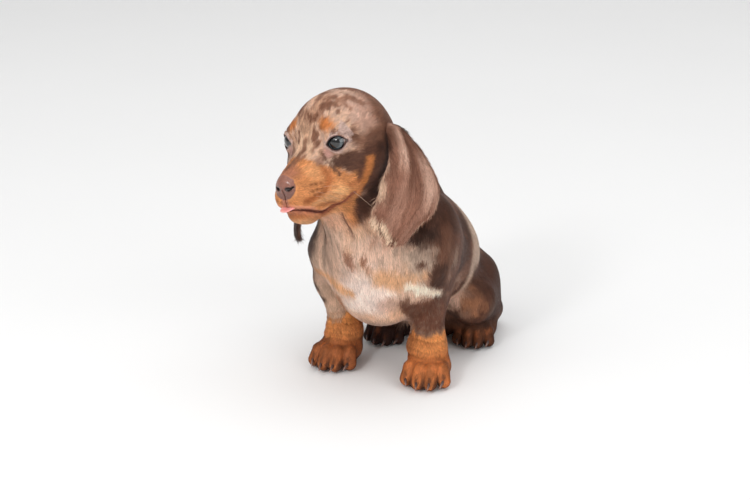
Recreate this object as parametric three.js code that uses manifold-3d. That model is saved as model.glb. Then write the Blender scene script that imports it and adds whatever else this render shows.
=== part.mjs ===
// A sitting smooth-haired dachshund puppy at life size, as a still museum model.
//
// The flesh is one soft-edged body, described by egg shapes and tapered limbs that melt into
// one another. It is meshed once for each node, on a grid as fine as that node needs, and
// parted from its neighbours by thin curved cuts. Ears, eyes, nose, tongue and claws are set on it.
//
// Millimetres. +X is the dog's left, -Y is the way its chest faces, +Z is up, z = 0 is the floor.

import * as THREE from "three";
import { mergeVertices } from "three/addons/utils/BufferGeometryUtils.js";
import Module from "manifold-3d";

const wasm = await Module();
wasm.setup();

// Driving dimensions

const SEAM = 0.3; // gap between neighbouring nodes
const CLEAR = 0.45; // gap between a free ear and the body that it lies on
const CENTRE = [-6.5, 35.3]; // the middle of the sitting dog's outline, put over the origin

const HEAD_AT = [-16.5, -28, 168.5]; // middle of the skull
const HEAD_TURN = { yaw: -15, pitch: 7, roll: -9 }; // looks to its right, a little down, tilted
const SKULL = { half: 31.5, length: 32.3, height: 31.5 };
const EYE = { at: [18.6, -18.5, 7], radius: 8, out: 27, up: 4 };
const LIDS = { thick: 1.7, half: 6.6, above: 4.9, below: 4.3 };
const NOSE = { at: [0, -53.5, -10.8], half: 7.5, depth: 6, height: 6.6 };
const LIP = 1.3; // width of the mouth line
const LIP_DEPTH = 2.4;

const CHEST_HALF = 41;
const RUMP_Y = 118; // how far back the dog sits

const PAW = { half: 14.5, length: 15, height: 10 };
const TOES = { side: [-12, -4.1, 4.1, 12], reach: [-14, -20, -20, -14], radius: 4.9 };
const CLAW = { length: 7, radius: 1.8, sides: 5 };

const EAR = { thick: 3.2, rings: 12, sides: 8 };

// Small helpers

const rad = THREE.MathUtils.degToRad;
const mix = THREE.MathUtils.lerp;
const clamp = THREE.MathUtils.clamp;
const vec = (p) => new THREE.Vector3(...p);
const mirrored = (p, side) => [p[0] * side, p[1], p[2]];

function frameOf(at, { yaw = 0, pitch = 0, roll = 0 }) {
  const turn = new THREE.Quaternion().setFromEuler(
    new THREE.Euler(rad(pitch), rad(roll), rad(yaw), "ZXY"),
  );
  return new THREE.Matrix4().compose(vec(at), turn, new THREE.Vector3(1, 1, 1));
}

// Fields: a field gives, for a point, about how far it lies outside a shape

function placed(field, frame) {
  const m = frame.clone().invert().elements;
  return (x, y, z) =>
    field(
      m[0] * x + m[4] * y + m[8] * z + m[12],
      m[1] * x + m[5] * y + m[9] * z + m[13],
      m[2] * x + m[6] * y + m[10] * z + m[14],
    );
}

function egg(at, [rx, ry, rz], turn = {}) {
  const smallest = Math.min(rx, ry, rz);
  const shape = (x, y, z) => {
    const a = Math.hypot(x / rx, y / ry, z / rz);
    const b = Math.hypot(x / (rx * rx), y / (ry * ry), z / (rz * rz));
    return b < 1e-9 ? -smallest : (a * (a - 1)) / b;
  };
  return placed(shape, frameOf(at, turn));
}

function limb(a, b, ra, rb) {
  const [dx, dy, dz] = [b[0] - a[0], b[1] - a[1], b[2] - a[2]];
  const length2 = dx * dx + dy * dy + dz * dz;
  return (x, y, z) => {
    const [px, py, pz] = [x - a[0], y - a[1], z - a[2]];
    const t = clamp((px * dx + py * dy + pz * dz) / length2, 0, 1);
    return Math.hypot(px - t * dx, py - t * dy, pz - t * dz) - mix(ra, rb, t);
  };
}

function melt(soft, ...fields) {
  return (x, y, z) => {
    let d = fields[0](x, y, z);
    for (let i = 1; i < fields.length; i++) {
      const e = fields[i](x, y, z);
      const h = Math.max(soft - Math.abs(d - e), 0) / soft;
      d = Math.min(d, e) - (h * h * soft) / 4;
    }
    return d;
  };
}

const both = (make) => [make(1), make(-1)];
const grown = (field, by) => (x, y, z) => field(x, y, z) - by;

// The head, in its own frame: x to its left, -y towards the nose, z up, symmetric

const headFrame = frameOf(HEAD_AT, HEAD_TURN);

function headField() {
  const skull = melt(
    14,
    egg([0, 6, 2], [SKULL.half, SKULL.length, SKULL.height]),
    egg([0, -10, 9], [18.5, 15, 18]),
    ...both((s) => egg([18 * s, -7, -11], [13, 21, 15])),
  );
  const brows = both((s) => egg([14 * s, -18.5, 15.2], [7.6, 5.2, 4], { yaw: 20 * s }));
  const muzzle = melt(
    7,
    limb([0, -18, -4.5], [0, -45, -11], 16.5, 10.5),
    ...both((s) => egg([7 * s, -42, -20], [9.5, 15, 10], { pitch: -2, yaw: -5 * s })),
    ...both((s) => egg([14 * s, -21, -20], [11, 18, 13])),
    ...both((s) => egg([4.5 * s, -50, -22], [6.5, 7, 6])),
  );
  const jaw = melt(
    7,
    limb([0, -6, -28], [0, -40, -32.5], 14, 8.5),
    egg([0, -46, -33], [9.5, 9, 6.3]),
  );
  const nose = melt(
    2.5,
    egg(NOSE.at, [NOSE.half, NOSE.depth, NOSE.height]),
    ...both((s) => egg([5 * s, -53, -12.8], [3.8, 4.4, 4.2])),
  );
  const lids = both((s) => egg(mirrored(EYE.at, s), Array(3).fill(EYE.radius + LIDS.thick)));
  const face = melt(9, skull, muzzle);
  return melt(3.5, melt(5, melt(6, face, ...brows), jaw), nose, ...lids);
}

// The trunk, from the breast to the rump

function trunkField() {
  return melt(
    22,
    egg([0, 24, 86], [CHEST_HALF + 1, 46, 54], { pitch: 34 }),
    egg([0, -4, 80], [33, 27, 42]),
    egg([0, 59, 72], [CHEST_HALF + 4.5, 48, 39], { pitch: -40 }),
    egg([0, RUMP_Y - 23, 36], [32, 33, 41], { pitch: -25 }),
  );
}

function neckField() {
  return melt(
    12,
    limb([-13, -12, 156], [-3, 18, 116], 30, 37),
    limb([-14, -32, 140], [-4, -14, 104], 20, 26),
  );
}

// A paw, in its own frame: -y towards the toes, z = 0 on the floor. Each toe arches from its
// knuckle down to its tip, and a groove runs up between each pair.

function pawField(size) {
  const toe = (side, reach) => {
    const knuckle = [side * 0.85, reach * 0.66, 11.4].map((c) => c * size);
    const tip = [side, reach, 5.4].map((c) => c * size);
    const heel = [side * 0.6, 2, 11].map((c) => c * size);
    const r = TOES.radius * size;
    return melt(1.5, limb(heel, knuckle, r * 1.1, r * 1.04), limb(knuckle, tip, r * 1.04, r));
  };
  const toes = TOES.side.map((side, i) => toe(side, TOES.reach[i]));
  const pad = egg([0, 3 * size, 8.5 * size], [PAW.half, PAW.length, PAW.height].map((r) => r * size));
  return melt(1.6, pad, ...toes);
}

// Legs: joints are listed from the body down to the floor

const FORELEGS = {
  left: { side: 1, shoulder: 36, upper: 32, elbow: 29, elbowY: 17, paw: [35, 3], wristX: -5, girth: 12.4, heading: 14 },
  right: { side: -1, shoulder: 33, upper: 36.5, elbow: 43, elbowY: 14, paw: [-34.5, 8], wristX: -0.2, girth: 10.8, heading: 6 },
};

const HIND_LEGS = {
  left: { side: 1, hip: [18, 98, 42], knee: [38, 72, 36], hock: [31, 121, 13], paw: [35, 87], heading: 14 },
  right: { side: -1, hip: [-18, 98, 42], knee: [-40, 66, 36], hock: [-36, 104, 13], paw: [-23, 66], heading: 6 },
};

const FORE_PAW_SIZE = 1.05;
const HIND_PAW_SIZE = 0.92;

const pawFrame = ({ paw, heading }) => frameOf([paw[0], paw[1], 0], { yaw: heading });

function forelegField(leg) {
  const { side, shoulder, upper, elbow, elbowY, paw, wristX, girth } = leg;
  const at = (x, y, z) => [x * side, y, z];
  const wrist = [paw[0] + wristX * side, paw[1] + 9, 24];
  return melt(
    9,
    egg(at(shoulder, 12, 95), [15.5, 25, 32], { pitch: 16 }),
    limb(at(upper, -2, 84), at(elbow, elbowY, 58), 15.5, girth + 0.4),
    limb(at(elbow, elbowY - 1, 58), wrist, girth, girth - 1),
    egg([wrist[0], wrist[1] - 2, 22], [12.8, 12.6, 10]),
    placed(pawField(FORE_PAW_SIZE), pawFrame(leg)),
  );
}

function hindLegField(leg) {
  const { side, hip, knee, hock, paw } = leg;
  const instep = [paw[0], paw[1] + 8, 10];
  return melt(
    8,
    limb(hip, knee, 24, 16),
    egg([33 * side, (hip[1] + knee[1]) / 2 + 12, 32], [14, 26, 27]),
    limb(knee, hock, 15, 9),
    limb(hock, instep, 9.5, 9),
    placed(pawField(HIND_PAW_SIZE), pawFrame(leg)),
  );
}

// The tail lies on the floor, curled round to the dog's right

const TAIL = [
  [0, 124, 20, 12],
  [-3, 140, 9, 8],
  [-18, 150, 6.3, 6.6],
  [-38, 151, 5, 5.3],
  [-56, 145, 3.9, 4.1],
  [-68, 136, 2.9, 3],
];

function tailField() {
  const pieces = TAIL.slice(1).map((b, i) => {
    const a = TAIL[i];
    return limb(a.slice(0, 3), b.slice(0, 3), a[3], b[3]);
  });
  return melt(3, ...pieces);
}

// The whole body

const headLocal = headField();
const flesh = melt(
  10,
  trunkField(),
  neckField(),
  placed(headLocal, headFrame),
  forelegField(FORELEGS.left),
  forelegField(FORELEGS.right),
);
const legs = [hindLegField(HIND_LEGS.left), hindLegField(HIND_LEGS.right)];
const body = melt(9, flesh, ...legs, tailField());
const bodyFromHead = placed(body, headFrame.clone().invert());

// Meshing: one vertex for each piece of surface in a grid cell, joined into quads

const CORNERS = [0, 1, 2, 3, 4, 5, 6, 7].map((c) => [c & 1, (c >> 1) & 1, c >> 2]);
const EDGES = [];
for (let axis = 0; axis < 3; axis++)
  for (let c = 0; c < 8; c++) if (!CORNERS[c][axis]) EDGES.push([c, c | (1 << axis), axis]);
const FACES = [
  [0, 1, 3, 2],
  [4, 5, 7, 6],
  [0, 1, 5, 4],
  [2, 3, 7, 6],
  [0, 2, 6, 4],
  [1, 3, 7, 5],
];
const edgeBetween = (a, b) => EDGES.findIndex(([p, q]) => p === Math.min(a, b) && q === Math.max(a, b));
const FACE_EDGES = FACES.map((f) => f.map((c, i) => edgeBetween(c, f[(i + 1) % 4])));

function lines(...spans) {
  const all = [];
  for (const [from, to, step] of spans) {
    const count = Math.round((to - from) / step);
    for (let i = all.length ? 1 : 0; i <= count; i++) all.push(mix(from, to, i / count));
  }
  return all;
}

// Groups a cell's crossed edges into the separate pieces of surface that pass through it
function piecesOfCell(inside) {
  const group = EDGES.map(([a, b], i) => (inside[a] !== inside[b] ? i : -1));
  const join = (a, b) => {
    const [from, to] = [group[a], group[b]];
    group.forEach((g, i) => {
      if (g === from) group[i] = to;
    });
  };
  FACES.forEach((corners, f) => {
    const edges = FACE_EDGES[f];
    const crossed = edges.filter((e) => group[e] >= 0);
    if (crossed.length === 2) join(crossed[0], crossed[1]);
    if (crossed.length === 4) {
      const first = inside[corners[0]] ? 0 : 1;
      join(edges[(first + 3) % 4], edges[first]);
      join(edges[first + 1], edges[(first + 2) % 4]);
    }
  });
  return group;
}

function meshed(field, [xs, ys, zs], rounds = 8) {
  const [nx, ny, nz] = [xs.length, ys.length, zs.length];
  const id = (i, j, k) => i + nx * (j + ny * k);
  const value = new Float64Array(nx * ny * nz);
  for (let k = 0; k < nz; k++)
    for (let j = 0; j < ny; j++)
      for (let i = 0; i < nx; i++) {
        const edge = !i || !j || !k || i === nx - 1 || j === ny - 1 || k === nz - 1;
        const d = field(xs[i], ys[j], zs[k]);
        value[id(i, j, k)] = edge ? Math.max(d, 0.5) : d || 1e-6;
      }
  const points = [];
  const fixed = [];
  const around = new Map(); // grid edge -> the vertices of the four cells around it
  for (let k = 0; k < nz - 1; k++)
    for (let j = 0; j < ny - 1; j++)
      for (let i = 0; i < nx - 1; i++) {
        const v = CORNERS.map(([a, b, c]) => value[id(i + a, j + b, k + c)]);
        const inside = v.map((d) => d < 0);
        if (inside.every((s) => s === inside[0])) continue;
        const group = piecesOfCell(inside);
        const border = i < 1 || j < 1 || k < 1 || i > nx - 3 || j > ny - 3 || k > nz - 3;
        for (const g of new Set(group.filter((n) => n >= 0))) {
          const sum = [0, 0, 0];
          let count = 0;
          group.forEach((n, e) => {
            if (n !== g) return;
            const [a, b, axis] = EDGES[e];
            const t = v[a] / (v[a] - v[b]);
            const p = CORNERS[a].map((c, d) => (d === axis ? t : c));
            sum[0] += mix(xs[i], xs[i + 1], p[0]);
            sum[1] += mix(ys[j], ys[j + 1], p[1]);
            sum[2] += mix(zs[k], zs[k + 1], p[2]);
            count++;
            const [da, db, dc] = CORNERS[a];
            const key = id(i + da, j + db, k + dc) * 3 + axis;
            if (!around.has(key)) around.set(key, { slots: [], flip: v[a] < 0 });
            const [s, t2] = [0, 1, 2].filter((d) => d !== axis).map((d) => CORNERS[a][d]);
            around.get(key).slots[s + 2 * t2] = points.length;
          });
          points.push(sum.map((x) => x / count));
          fixed.push(border);
        }
      }
  const quads = [];
  for (const [key, { slots, flip }] of around) {
    if (slots.filter((n) => n !== undefined).length < 4) continue;
    const quad = [slots[0], slots[1], slots[3], slots[2]];
    if (flip === (key % 3 === 1)) quad.reverse();
    quads.push(quad);
  }
  relax(points, fixed, quads, field, rounds);
  return geometryFrom(points, quads);
}

function relax(points, fixed, quads, field, rounds) {
  const near = points.map(() => new Set());
  for (const q of quads)
    q.forEach((a, i) => {
      near[a].add(q[(i + 1) % 4]);
      near[a].add(q[(i + 3) % 4]);
    });
  const step = 0.05;
  for (let round = 0; round < rounds; round++) {
    const last = round === rounds - 1;
    const moved = points.map((p, n) => {
      if (fixed[n]) return p;
      const mean = [0, 0, 0];
      for (const m of near[n]) points[m].forEach((c, d) => (mean[d] += c / near[n].size));
      const q = p.map((c, d) => mix(c, mean[d], last ? 0 : 0.5));
      const f = field(...q);
      const g = [0, 1, 2].map((d) => {
        const r = [...q];
        r[d] += step;
        return (field(...r) - f) / step;
      });
      const g2 = g[0] ** 2 + g[1] ** 2 + g[2] ** 2;
      const push = g2 > 0.05 ? clamp(f / g2, -1.5, 1.5) : 0;
      return q.map((c, d) => c - push * g[d]);
    });
    moved.forEach((p, n) => (points[n] = p));
  }
}

function geometryFrom(points, quads) {
  const index = [];
  const apart = (a, b) => Math.hypot(...points[a].map((c, d) => c - points[b][d]));
  for (const [a, b, c, d] of quads)
    if (apart(a, c) < apart(b, d)) index.push(a, b, c, a, c, d);
    else index.push(b, c, d, b, d, a);
  const geometry = new THREE.BufferGeometry();
  geometry.setAttribute("position", new THREE.Float32BufferAttribute(points.flat(), 3));
  geometry.setIndex(index);
  return geometry;
}

// Closed tube through rings of points, each end closed by a fan
function loft(rings) {
  const sides = rings[0].length;
  const points = rings.flat();
  const index = [];
  for (let r = 0; r + 1 < rings.length; r++)
    for (let s = 0; s < sides; s++) {
      const [a, b] = [r * sides + s, r * sides + ((s + 1) % sides)];
      index.push(a, b, b + sides, a, b + sides, a + sides);
    }
  for (const [start, turn] of [[0, 1], [points.length - sides, 0]]) {
    const middle = new THREE.Vector3();
    for (let s = 0; s < sides; s++) middle.addScaledVector(points[start + s], 1 / sides);
    points.push(middle);
    for (let s = 0; s < sides; s++) {
      const [a, b] = [start + s, start + ((s + 1) % sides)];
      index.push(...(turn ? [b, a] : [a, b]), points.length - 1);
    }
  }
  const geometry = new THREE.BufferGeometry();
  geometry.setAttribute(
    "position",
    new THREE.Float32BufferAttribute(points.flatMap((p) => [p.x, p.y, p.z]), 3),
  );
  geometry.setIndex(index);
  return geometry;
}

// Solids

function solid(geometry, frame = new THREE.Matrix4()) {
  const g = geometry.clone().applyMatrix4(frame);
  g.deleteAttribute("normal");
  g.deleteAttribute("uv");
  const merged = mergeVertices(g, 1e-4);
  const made = new wasm.Manifold(
    new wasm.Mesh({
      numProp: 3,
      vertProperties: merged.attributes.position.array,
      triVerts: new Uint32Array(merged.index.array),
    }),
  );
  return made;
}

function geometryOf(made) {
  const mesh = made.getMesh();
  const geometry = new THREE.BufferGeometry();
  geometry.setAttribute("position", new THREE.BufferAttribute(mesh.vertProperties, 3));
  geometry.setIndex(new THREE.BufferAttribute(mesh.triVerts, 1));
  return geometry;
}

function largest(made) {
  return made.decompose().reduce((a, b) => (a.volume() > b.volume() ? a : b));
}

function eggSolid(at, radii, turn = {}, extra = 0, sides = 20) {
  const [rx, ry, rz] = radii.map((r) => r + extra);
  const frame = frameOf(at, turn).scale(new THREE.Vector3(rx, ry, rz));
  return solid(new THREE.SphereGeometry(1, sides, Math.round(sides * 0.6)), frame);
}

// Everything on the side of a plane that its normal points to, as a large box
function halfSpace(at, normal, offset = 0) {
  const reach = 500;
  const n = vec(normal).normalize();
  const turn = new THREE.Quaternion().setFromUnitVectors(new THREE.Vector3(0, 0, 1), n);
  const middle = vec(at).addScaledVector(n, reach / 2 + offset);
  const frame = new THREE.Matrix4().compose(middle, turn, new THREE.Vector3(1, 1, 1));
  return solid(new THREE.BoxGeometry(reach, reach, reach), frame);
}

// Where the nodes part

const HEAD_CUT = { at: [-12, -8, 146], normal: [-0.14, -0.6, 0.79] };
const NECK_CUT = { at: [-2, 8, 120], normal: [-0.08, -0.5, 0.86] };
const FORELEG_CUT = { at: [54, 8, 61], radii: [37, 36, 45] };
const HIND_LEG_CUT = { at: [53, 90, 30], radii: [32, 52, 46] };
const PAW_CUT = { back: 6, height: 16, fore: [25, 42, 40], hind: [21, 42, 26] };
const TAIL_CUT = { at: [-12, 152, 4], radii: [70, 24, 17] };

const floor = halfSpace([0, 0, 0], [0, 0, 1]);
const aboveNeck = (offset) => halfSpace(NECK_CUT.at, NECK_CUT.normal, offset);
const headSide = (offset) => halfSpace(HEAD_CUT.at, HEAD_CUT.normal, offset);
const legRegion = ({ side, paw }, { at, radii }, pawRadii, extra) =>
  eggSolid(mirrored(at, side), radii, {}, extra, 15).add(
    eggSolid([paw[0], paw[1] + PAW_CUT.back, PAW_CUT.height], pawRadii, {}, extra, 15),
  );
const foreRegion = (name, extra) => legRegion(FORELEGS[name], FORELEG_CUT, PAW_CUT.fore, extra);
const hindRegion = (name, extra) => legRegion(HIND_LEGS[name], HIND_LEG_CUT, PAW_CUT.hind, extra);
const tailRegion = (extra) => eggSolid(TAIL_CUT.at, TAIL_CUT.radii, {}, extra);

// Claws: curved cones, sunk into the toe

function claw(root, heading, size) {
  const rings = [];
  const steps = 2;
  for (let i = 0; i <= steps; i++) {
    const t = i / steps;
    const radius = mix(CLAW.radius, 0.35, t) * size;
    const drop = mix(8, -32, t);
    const centre = new THREE.Vector3(0, -CLAW.length * size * t, -2.6 * size * t * t);
    const ring = [];
    for (let s = 0; s < CLAW.sides; s++) {
      const a = (2 * Math.PI * s) / CLAW.sides;
      const p = new THREE.Vector3(Math.cos(a) * radius * 0.8, 0, Math.sin(a) * radius);
      ring.push(p.applyAxisAngle(new THREE.Vector3(1, 0, 0), rad(-drop)).add(centre));
    }
    rings.push(ring);
  }
  return solid(loft(rings), frameOf(root, { yaw: heading }));
}

function clawsOf(leg, size) {
  const frame = pawFrame(leg);
  return TOES.side.map((side, i) => {
    const root = new THREE.Vector3(side * 1.03, TOES.reach[i] - 2.6, 6.2).multiplyScalar(size);
    return claw(root.applyMatrix4(frame).toArray(), leg.heading - side * 1.1, size);
  });
}

// Body nodes

function torso() {
  let made = solid(meshed(body, [lines([-60, 60, 9.2]), lines([-42, 144, 9.4]), lines([-6, 144, 9.4])]));
  made = made.intersect(floor).subtract(aboveNeck(-SEAM / 2));
  for (const name of ["left", "right"]) {
    made = made.subtract(foreRegion(name, SEAM)).subtract(hindRegion(name, SEAM));
  }
  return largest(made.subtract(tailRegion(SEAM)));
}

function neck() {
  const made = solid(meshed(body, [lines([-62, 52, 7]), lines([-66, 56, 7]), lines([80, 180, 7])]));
  return largest(made.intersect(aboveNeck(SEAM / 2)).subtract(headSide(-SEAM / 2)));
}

function foreleg(name) {
  const leg = FORELEGS[name];
  const [x, y] = leg.paw;
  const grid = [lines([x - 30, x + 30, 3.7]), lines([y - 34, y - 4, 4.4], [y - 4, y + 52, 8.4]), lines([-3, 18, 3.5], [18, 113, 10.5])];
  let made = solid(meshed(body, grid)).intersect(foreRegion(name, 0));
  for (const c of clawsOf(leg, FORE_PAW_SIZE)) made = made.add(c);
  return largest(made.intersect(floor));
}

function hindLeg(name) {
  const leg = HIND_LEGS[name];
  const [x, y] = leg.paw;
  const grid = [
    lines([x - 36, x - 18, 9], [x - 18, x + 18, 3.4], [x + 18, x + 36, 9]),
    lines([y - 34, y - 4, 4.2], [y - 4, y + 80, 9.5]),
    lines([-3, 15, 3.4], [15, 92, 9.5]),
  ];
  let made = solid(meshed(body, grid)).intersect(hindRegion(name, 0));
  for (const c of clawsOf(leg, HIND_PAW_SIZE)) made = made.add(c);
  return largest(made.intersect(floor));
}

function tail() {
  const made = solid(meshed(body, [lines([-76, 26, 6]), lines([108, 164, 4.8]), lines([-4, 34, 4.2])]));
  return largest(made.intersect(tailRegion(0)).intersect(floor));
}

// Head nodes, all in the head's frame

const eyeTurn = (side) => ({ yaw: EYE.out * side, pitch: -EYE.up });

function eye(side) {
  return eggSolid(mirrored(EYE.at, side), Array(3).fill(EYE.radius), eyeTurn(side), 0, 14);
}

function socket(side) {
  return eggSolid(mirrored(EYE.at, side), Array(3).fill(EYE.radius), eyeTurn(side), SEAM, 14);
}

// The opening between the lids, as a prism that runs out along the gaze
function lidOpening(side) {
  const outline = new THREE.Shape();
  const { half, above, below } = LIDS;
  outline.moveTo(-half, 0);
  outline.bezierCurveTo(-half * 0.62, above * 1.32, half * 0.62, above * 1.32, half, 0.4);
  outline.bezierCurveTo(half * 0.62, -below * 1.3, -half * 0.62, -below * 1.3, -half, 0);
  const prism = new THREE.ExtrudeGeometry(outline, { depth: 20, bevelEnabled: false, curveSegments: 7 });
  prism.rotateX(Math.PI / 2);
  return solid(prism, frameOf(mirrored(EYE.at, side), eyeTurn(side)));
}

const noseCut = (extra) => eggSolid([0, -58, -11.8], [9.6, 8.2, 8.3], {}, extra, 16);

function nose() {
  const grid = [lines([-13, 13, 2.7]), lines([-66, -42, 2.7]), lines([-26, 0, 2.7])];
  let made = solid(meshed(bodyFromHead, grid)).intersect(noseCut(0));
  for (const side of [1, -1]) {
    const hole = eggSolid([3.5 * side, -60, -12.2], [1.8, 5, 1.6], { yaw: -24 * side }, 0, 10);
    const slit = eggSolid([6 * side, -58, -13.6], [2.5, 3.4, 0.8], { roll: 24 * side }, 0, 10);
    made = made.subtract(hole).subtract(slit);
  }
  return largest(made);
}

const TONGUE = { at: [0.5, -52.8, -26.1], radii: [6, 10.5, 1.7], turn: { pitch: 4 } };
const tongueSolid = (extra) => eggSolid(TONGUE.at, TONGUE.radii, TONGUE.turn, extra, 14);

// The mouth line: a thin slot along the lips, as deep as the lips are thick
const LIP_LINE = [
  [-62, -24.8],
  [-52, -28.2],
  [-44, -32.4],
  [-37, -34.6],
  [-31, -32.4],
  [-25.5, -26.5],
];

function mouthSlot() {
  const curve = new THREE.SplineCurve(LIP_LINE.map(([y, z]) => new THREE.Vector2(y, z)));
  const along = curve.getPoints(14);
  const outline = new THREE.Shape([
    ...along.map((p) => new THREE.Vector2(p.x, p.y + LIP / 2)),
    ...along.reverse().map((p) => new THREE.Vector2(p.x, p.y - LIP / 2)),
  ]);
  const slab = new THREE.ExtrudeGeometry(outline, { depth: 80, bevelEnabled: false });
  slab.translate(0, 0, -40).applyMatrix4(new THREE.Matrix4().makeBasis(
    new THREE.Vector3(0, 1, 0),
    new THREE.Vector3(0, 0, 1),
    new THREE.Vector3(1, 0, 0),
  ));
  const grid = [lines([-34, 34, 4]), lines([-66, -6, 4]), lines([-52, -8, 4])];
  const inner = solid(meshed(grown(bodyFromHead, -LIP_DEPTH), grid));
  return solid(slab).subtract(inner);
}

function head() {
  const grid = [
    lines([-42, -26, 6], [-26, 26, 3.7], [26, 42, 6]),
    lines([-66, -13, 3.6], [-13, 47, 7.5]),
    lines([-56, 17, 3.7], [17, 46, 7]),
  ];
  const toHead = headFrame.clone().invert();
  const cut = solid(geometryOf(headSide(SEAM / 2)), toHead);
  let made = solid(meshed(bodyFromHead, grid)).intersect(cut);
  made = made.subtract(noseCut(SEAM)).subtract(mouthSlot()).subtract(tongueSolid(SEAM + 0.05));
  for (const side of [1, -1]) made = made.subtract(lidOpening(side)).subtract(socket(side));
  return largest(made);
}

// An ear is a soft curved leaf that hangs from the side of the skull. Its stations run from the
// root to the tip: the middle of the leaf, half its width, how far its broad side turns out
// from the head's side, and how much it is cupped.

const EARS = {
  left: {
    side: 1,
    stations: [
      { at: [25, 18, 2.5], half: 5.5, out: 10, cup: 3 },
      { at: [33.5, 16.8, 1], half: 7, out: 12, cup: 4 },
      { at: [37.5, 16.5, -6.5], half: 9.5, out: 16, cup: 4.5 },
      { at: [39.5, 16, -18], half: 15, out: 20, cup: 4 },
      { at: [41, 13, -30], half: 21, out: 24, cup: 3 },
      { at: [42, 6.5, -44], half: 23, out: 26, cup: 2 },
      { at: [42, -1.5, -52], half: 20, out: 26, cup: 1.5 },
      { at: [41.5, -9, -59], half: 13, out: 26, cup: 1 },
      { at: [41, -13, -62.5], half: 3, out: 26, cup: 0.3 },
    ],
  },
  right: {
    side: -1,
    stations: [
      { at: [25, 18, 4], half: 6, out: 12, cup: 3 },
      { at: [34, 17, 3], half: 7.5, out: 16, cup: 4 },
      { at: [37.5, 16, -5], half: 10, out: 22, cup: 4.5 },
      { at: [40, 14, -17], half: 15.5, out: 28, cup: 4 },
      { at: [42, 9, -30], half: 20, out: 34, cup: 3 },
      { at: [44, 1, -43], half: 21, out: 38, cup: 2 },
      { at: [45, -6, -52], half: 17, out: 38, cup: 1.5 },
      { at: [45, -10, -61], half: 10, out: 38, cup: 1 },
      { at: [45, -11, -65], half: 3, out: 38, cup: 0.3 },
    ],
  },
};

function earSolid(name) {
  const { side, stations } = EARS[name];
  const spine = new THREE.CatmullRomCurve3(stations.map((s) => vec(s.at)), false, "centripetal");
  const value = (key, t) => {
    const u = t * (stations.length - 1);
    const i = Math.min(Math.floor(u), stations.length - 2);
    const f = u - i;
    return mix(stations[i][key], stations[i + 1][key], f);
  };
  const rings = [];
  for (let r = 0; r <= EAR.rings; r++) {
    const t = r / EAR.rings;
    const centre = spine.getPoint(t);
    const down = spine.getTangent(t);
    const out = rad(value("out", t));
    const across = new THREE.Vector3(Math.sin(out), Math.cos(out), 0);
    const face = new THREE.Vector3().crossVectors(down, across).normalize();
    if (face.x < 0) face.negate();
    across.crossVectors(face, down).normalize();
    if (across.y < 0) across.negate();
    const half = value("half", t);
    const ring = [];
    for (const shell of [1, -1])
      for (let s = 0; s < EAR.sides; s++) {
        const u = shell * mix(-1, 1, s / EAR.sides);
        const rim = Math.sqrt(1 - u ** 4);
        const p = centre.clone().addScaledVector(across, half * u);
        p.addScaledVector(face, value("cup", t) * (1 - u * u) + (shell * EAR.thick * rim) / 2);
        ring.push(new THREE.Vector3(p.x * side, p.y, p.z));
      }
    if (side > 0) ring.reverse();
    rings.push(ring);
  }
  return solid(loft(rings));
}

function ear(name) {
  const { side } = EARS[name];
  const xs = lines([Math.min(8 * side, 84 * side), Math.max(8 * side, 84 * side), 3.6]);
  const skin = solid(meshed(grown(bodyFromHead, CLEAR), [xs, lines([-44, 52, 3.6]), lines([-86, 36, 3.6])]));
  return largest(earSolid(name).subtract(skin));
}

// The scene graph

const colour = (hex, roughness) => new THREE.MeshStandardMaterial({ color: hex, roughness, metalness: 0 });
const coat = colour(0x5b3a2c, 0.75);
const tan = colour(0xb0662f, 0.75);
const leather = colour(0x7a4b40, 0.5);
const wet = colour(0x2c3236, 0.05);
const pink = colour(0xe79a94, 0.35);

function node(name, made, material) {
  const mesh = new THREE.Mesh(geometryOf(made), material);
  mesh.name = name;
  return mesh;
}

const headGroup = new THREE.Group();
headGroup.applyMatrix4(headFrame);
headGroup.add(
  node("head", head(), coat),
  node("nose", nose(), leather),
  node("tongue", tongueSolid(0), pink),
  node("eye_left", eye(1), wet),
  node("eye_right", eye(-1), wet),
  node("ear_left", ear("left"), coat),
  node("ear_right", ear("right"), coat),
);

const dog = new THREE.Group();
dog.position.set(-CENTRE[0], -CENTRE[1], 0);
dog.add(
  headGroup,
  node("neck", neck(), coat),
  node("torso", torso(), coat),
  node("tail", tail(), coat),
  node("foreleg_left", foreleg("left"), tan),
  node("foreleg_right", foreleg("right"), tan),
  node("hindleg_left", hindLeg("left"), coat),
  node("hindleg_right", hindLeg("right"), coat),
);

export default new THREE.Group().add(dog);
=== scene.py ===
# A smooth-haired dachshund puppy, chocolate dapple and tan, sitting in a white studio.
#
# The body is described by the same soft shapes as the solids: eggs and tapered limbs that melt
# into one another. The skin is meshed finely from them a coat's depth inside the solids, and
# short hair lies over it in thin tufts. Skin and hair take their colour from one function.

import math
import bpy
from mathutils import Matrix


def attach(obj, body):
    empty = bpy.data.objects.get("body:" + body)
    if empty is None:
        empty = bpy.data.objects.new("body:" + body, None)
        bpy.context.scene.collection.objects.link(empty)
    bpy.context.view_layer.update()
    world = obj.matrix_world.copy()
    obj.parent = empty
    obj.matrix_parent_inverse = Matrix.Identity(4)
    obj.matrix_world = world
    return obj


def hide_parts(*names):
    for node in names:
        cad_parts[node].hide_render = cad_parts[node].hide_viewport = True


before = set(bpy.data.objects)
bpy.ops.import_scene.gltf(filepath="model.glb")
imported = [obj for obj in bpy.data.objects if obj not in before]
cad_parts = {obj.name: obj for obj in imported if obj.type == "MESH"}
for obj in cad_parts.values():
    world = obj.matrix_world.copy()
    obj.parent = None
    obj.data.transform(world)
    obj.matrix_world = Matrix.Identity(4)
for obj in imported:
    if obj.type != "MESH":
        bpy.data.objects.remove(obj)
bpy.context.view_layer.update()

from concurrent.futures import ThreadPoolExecutor

import bpy
import numpy as np
from mathutils import Vector

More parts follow.
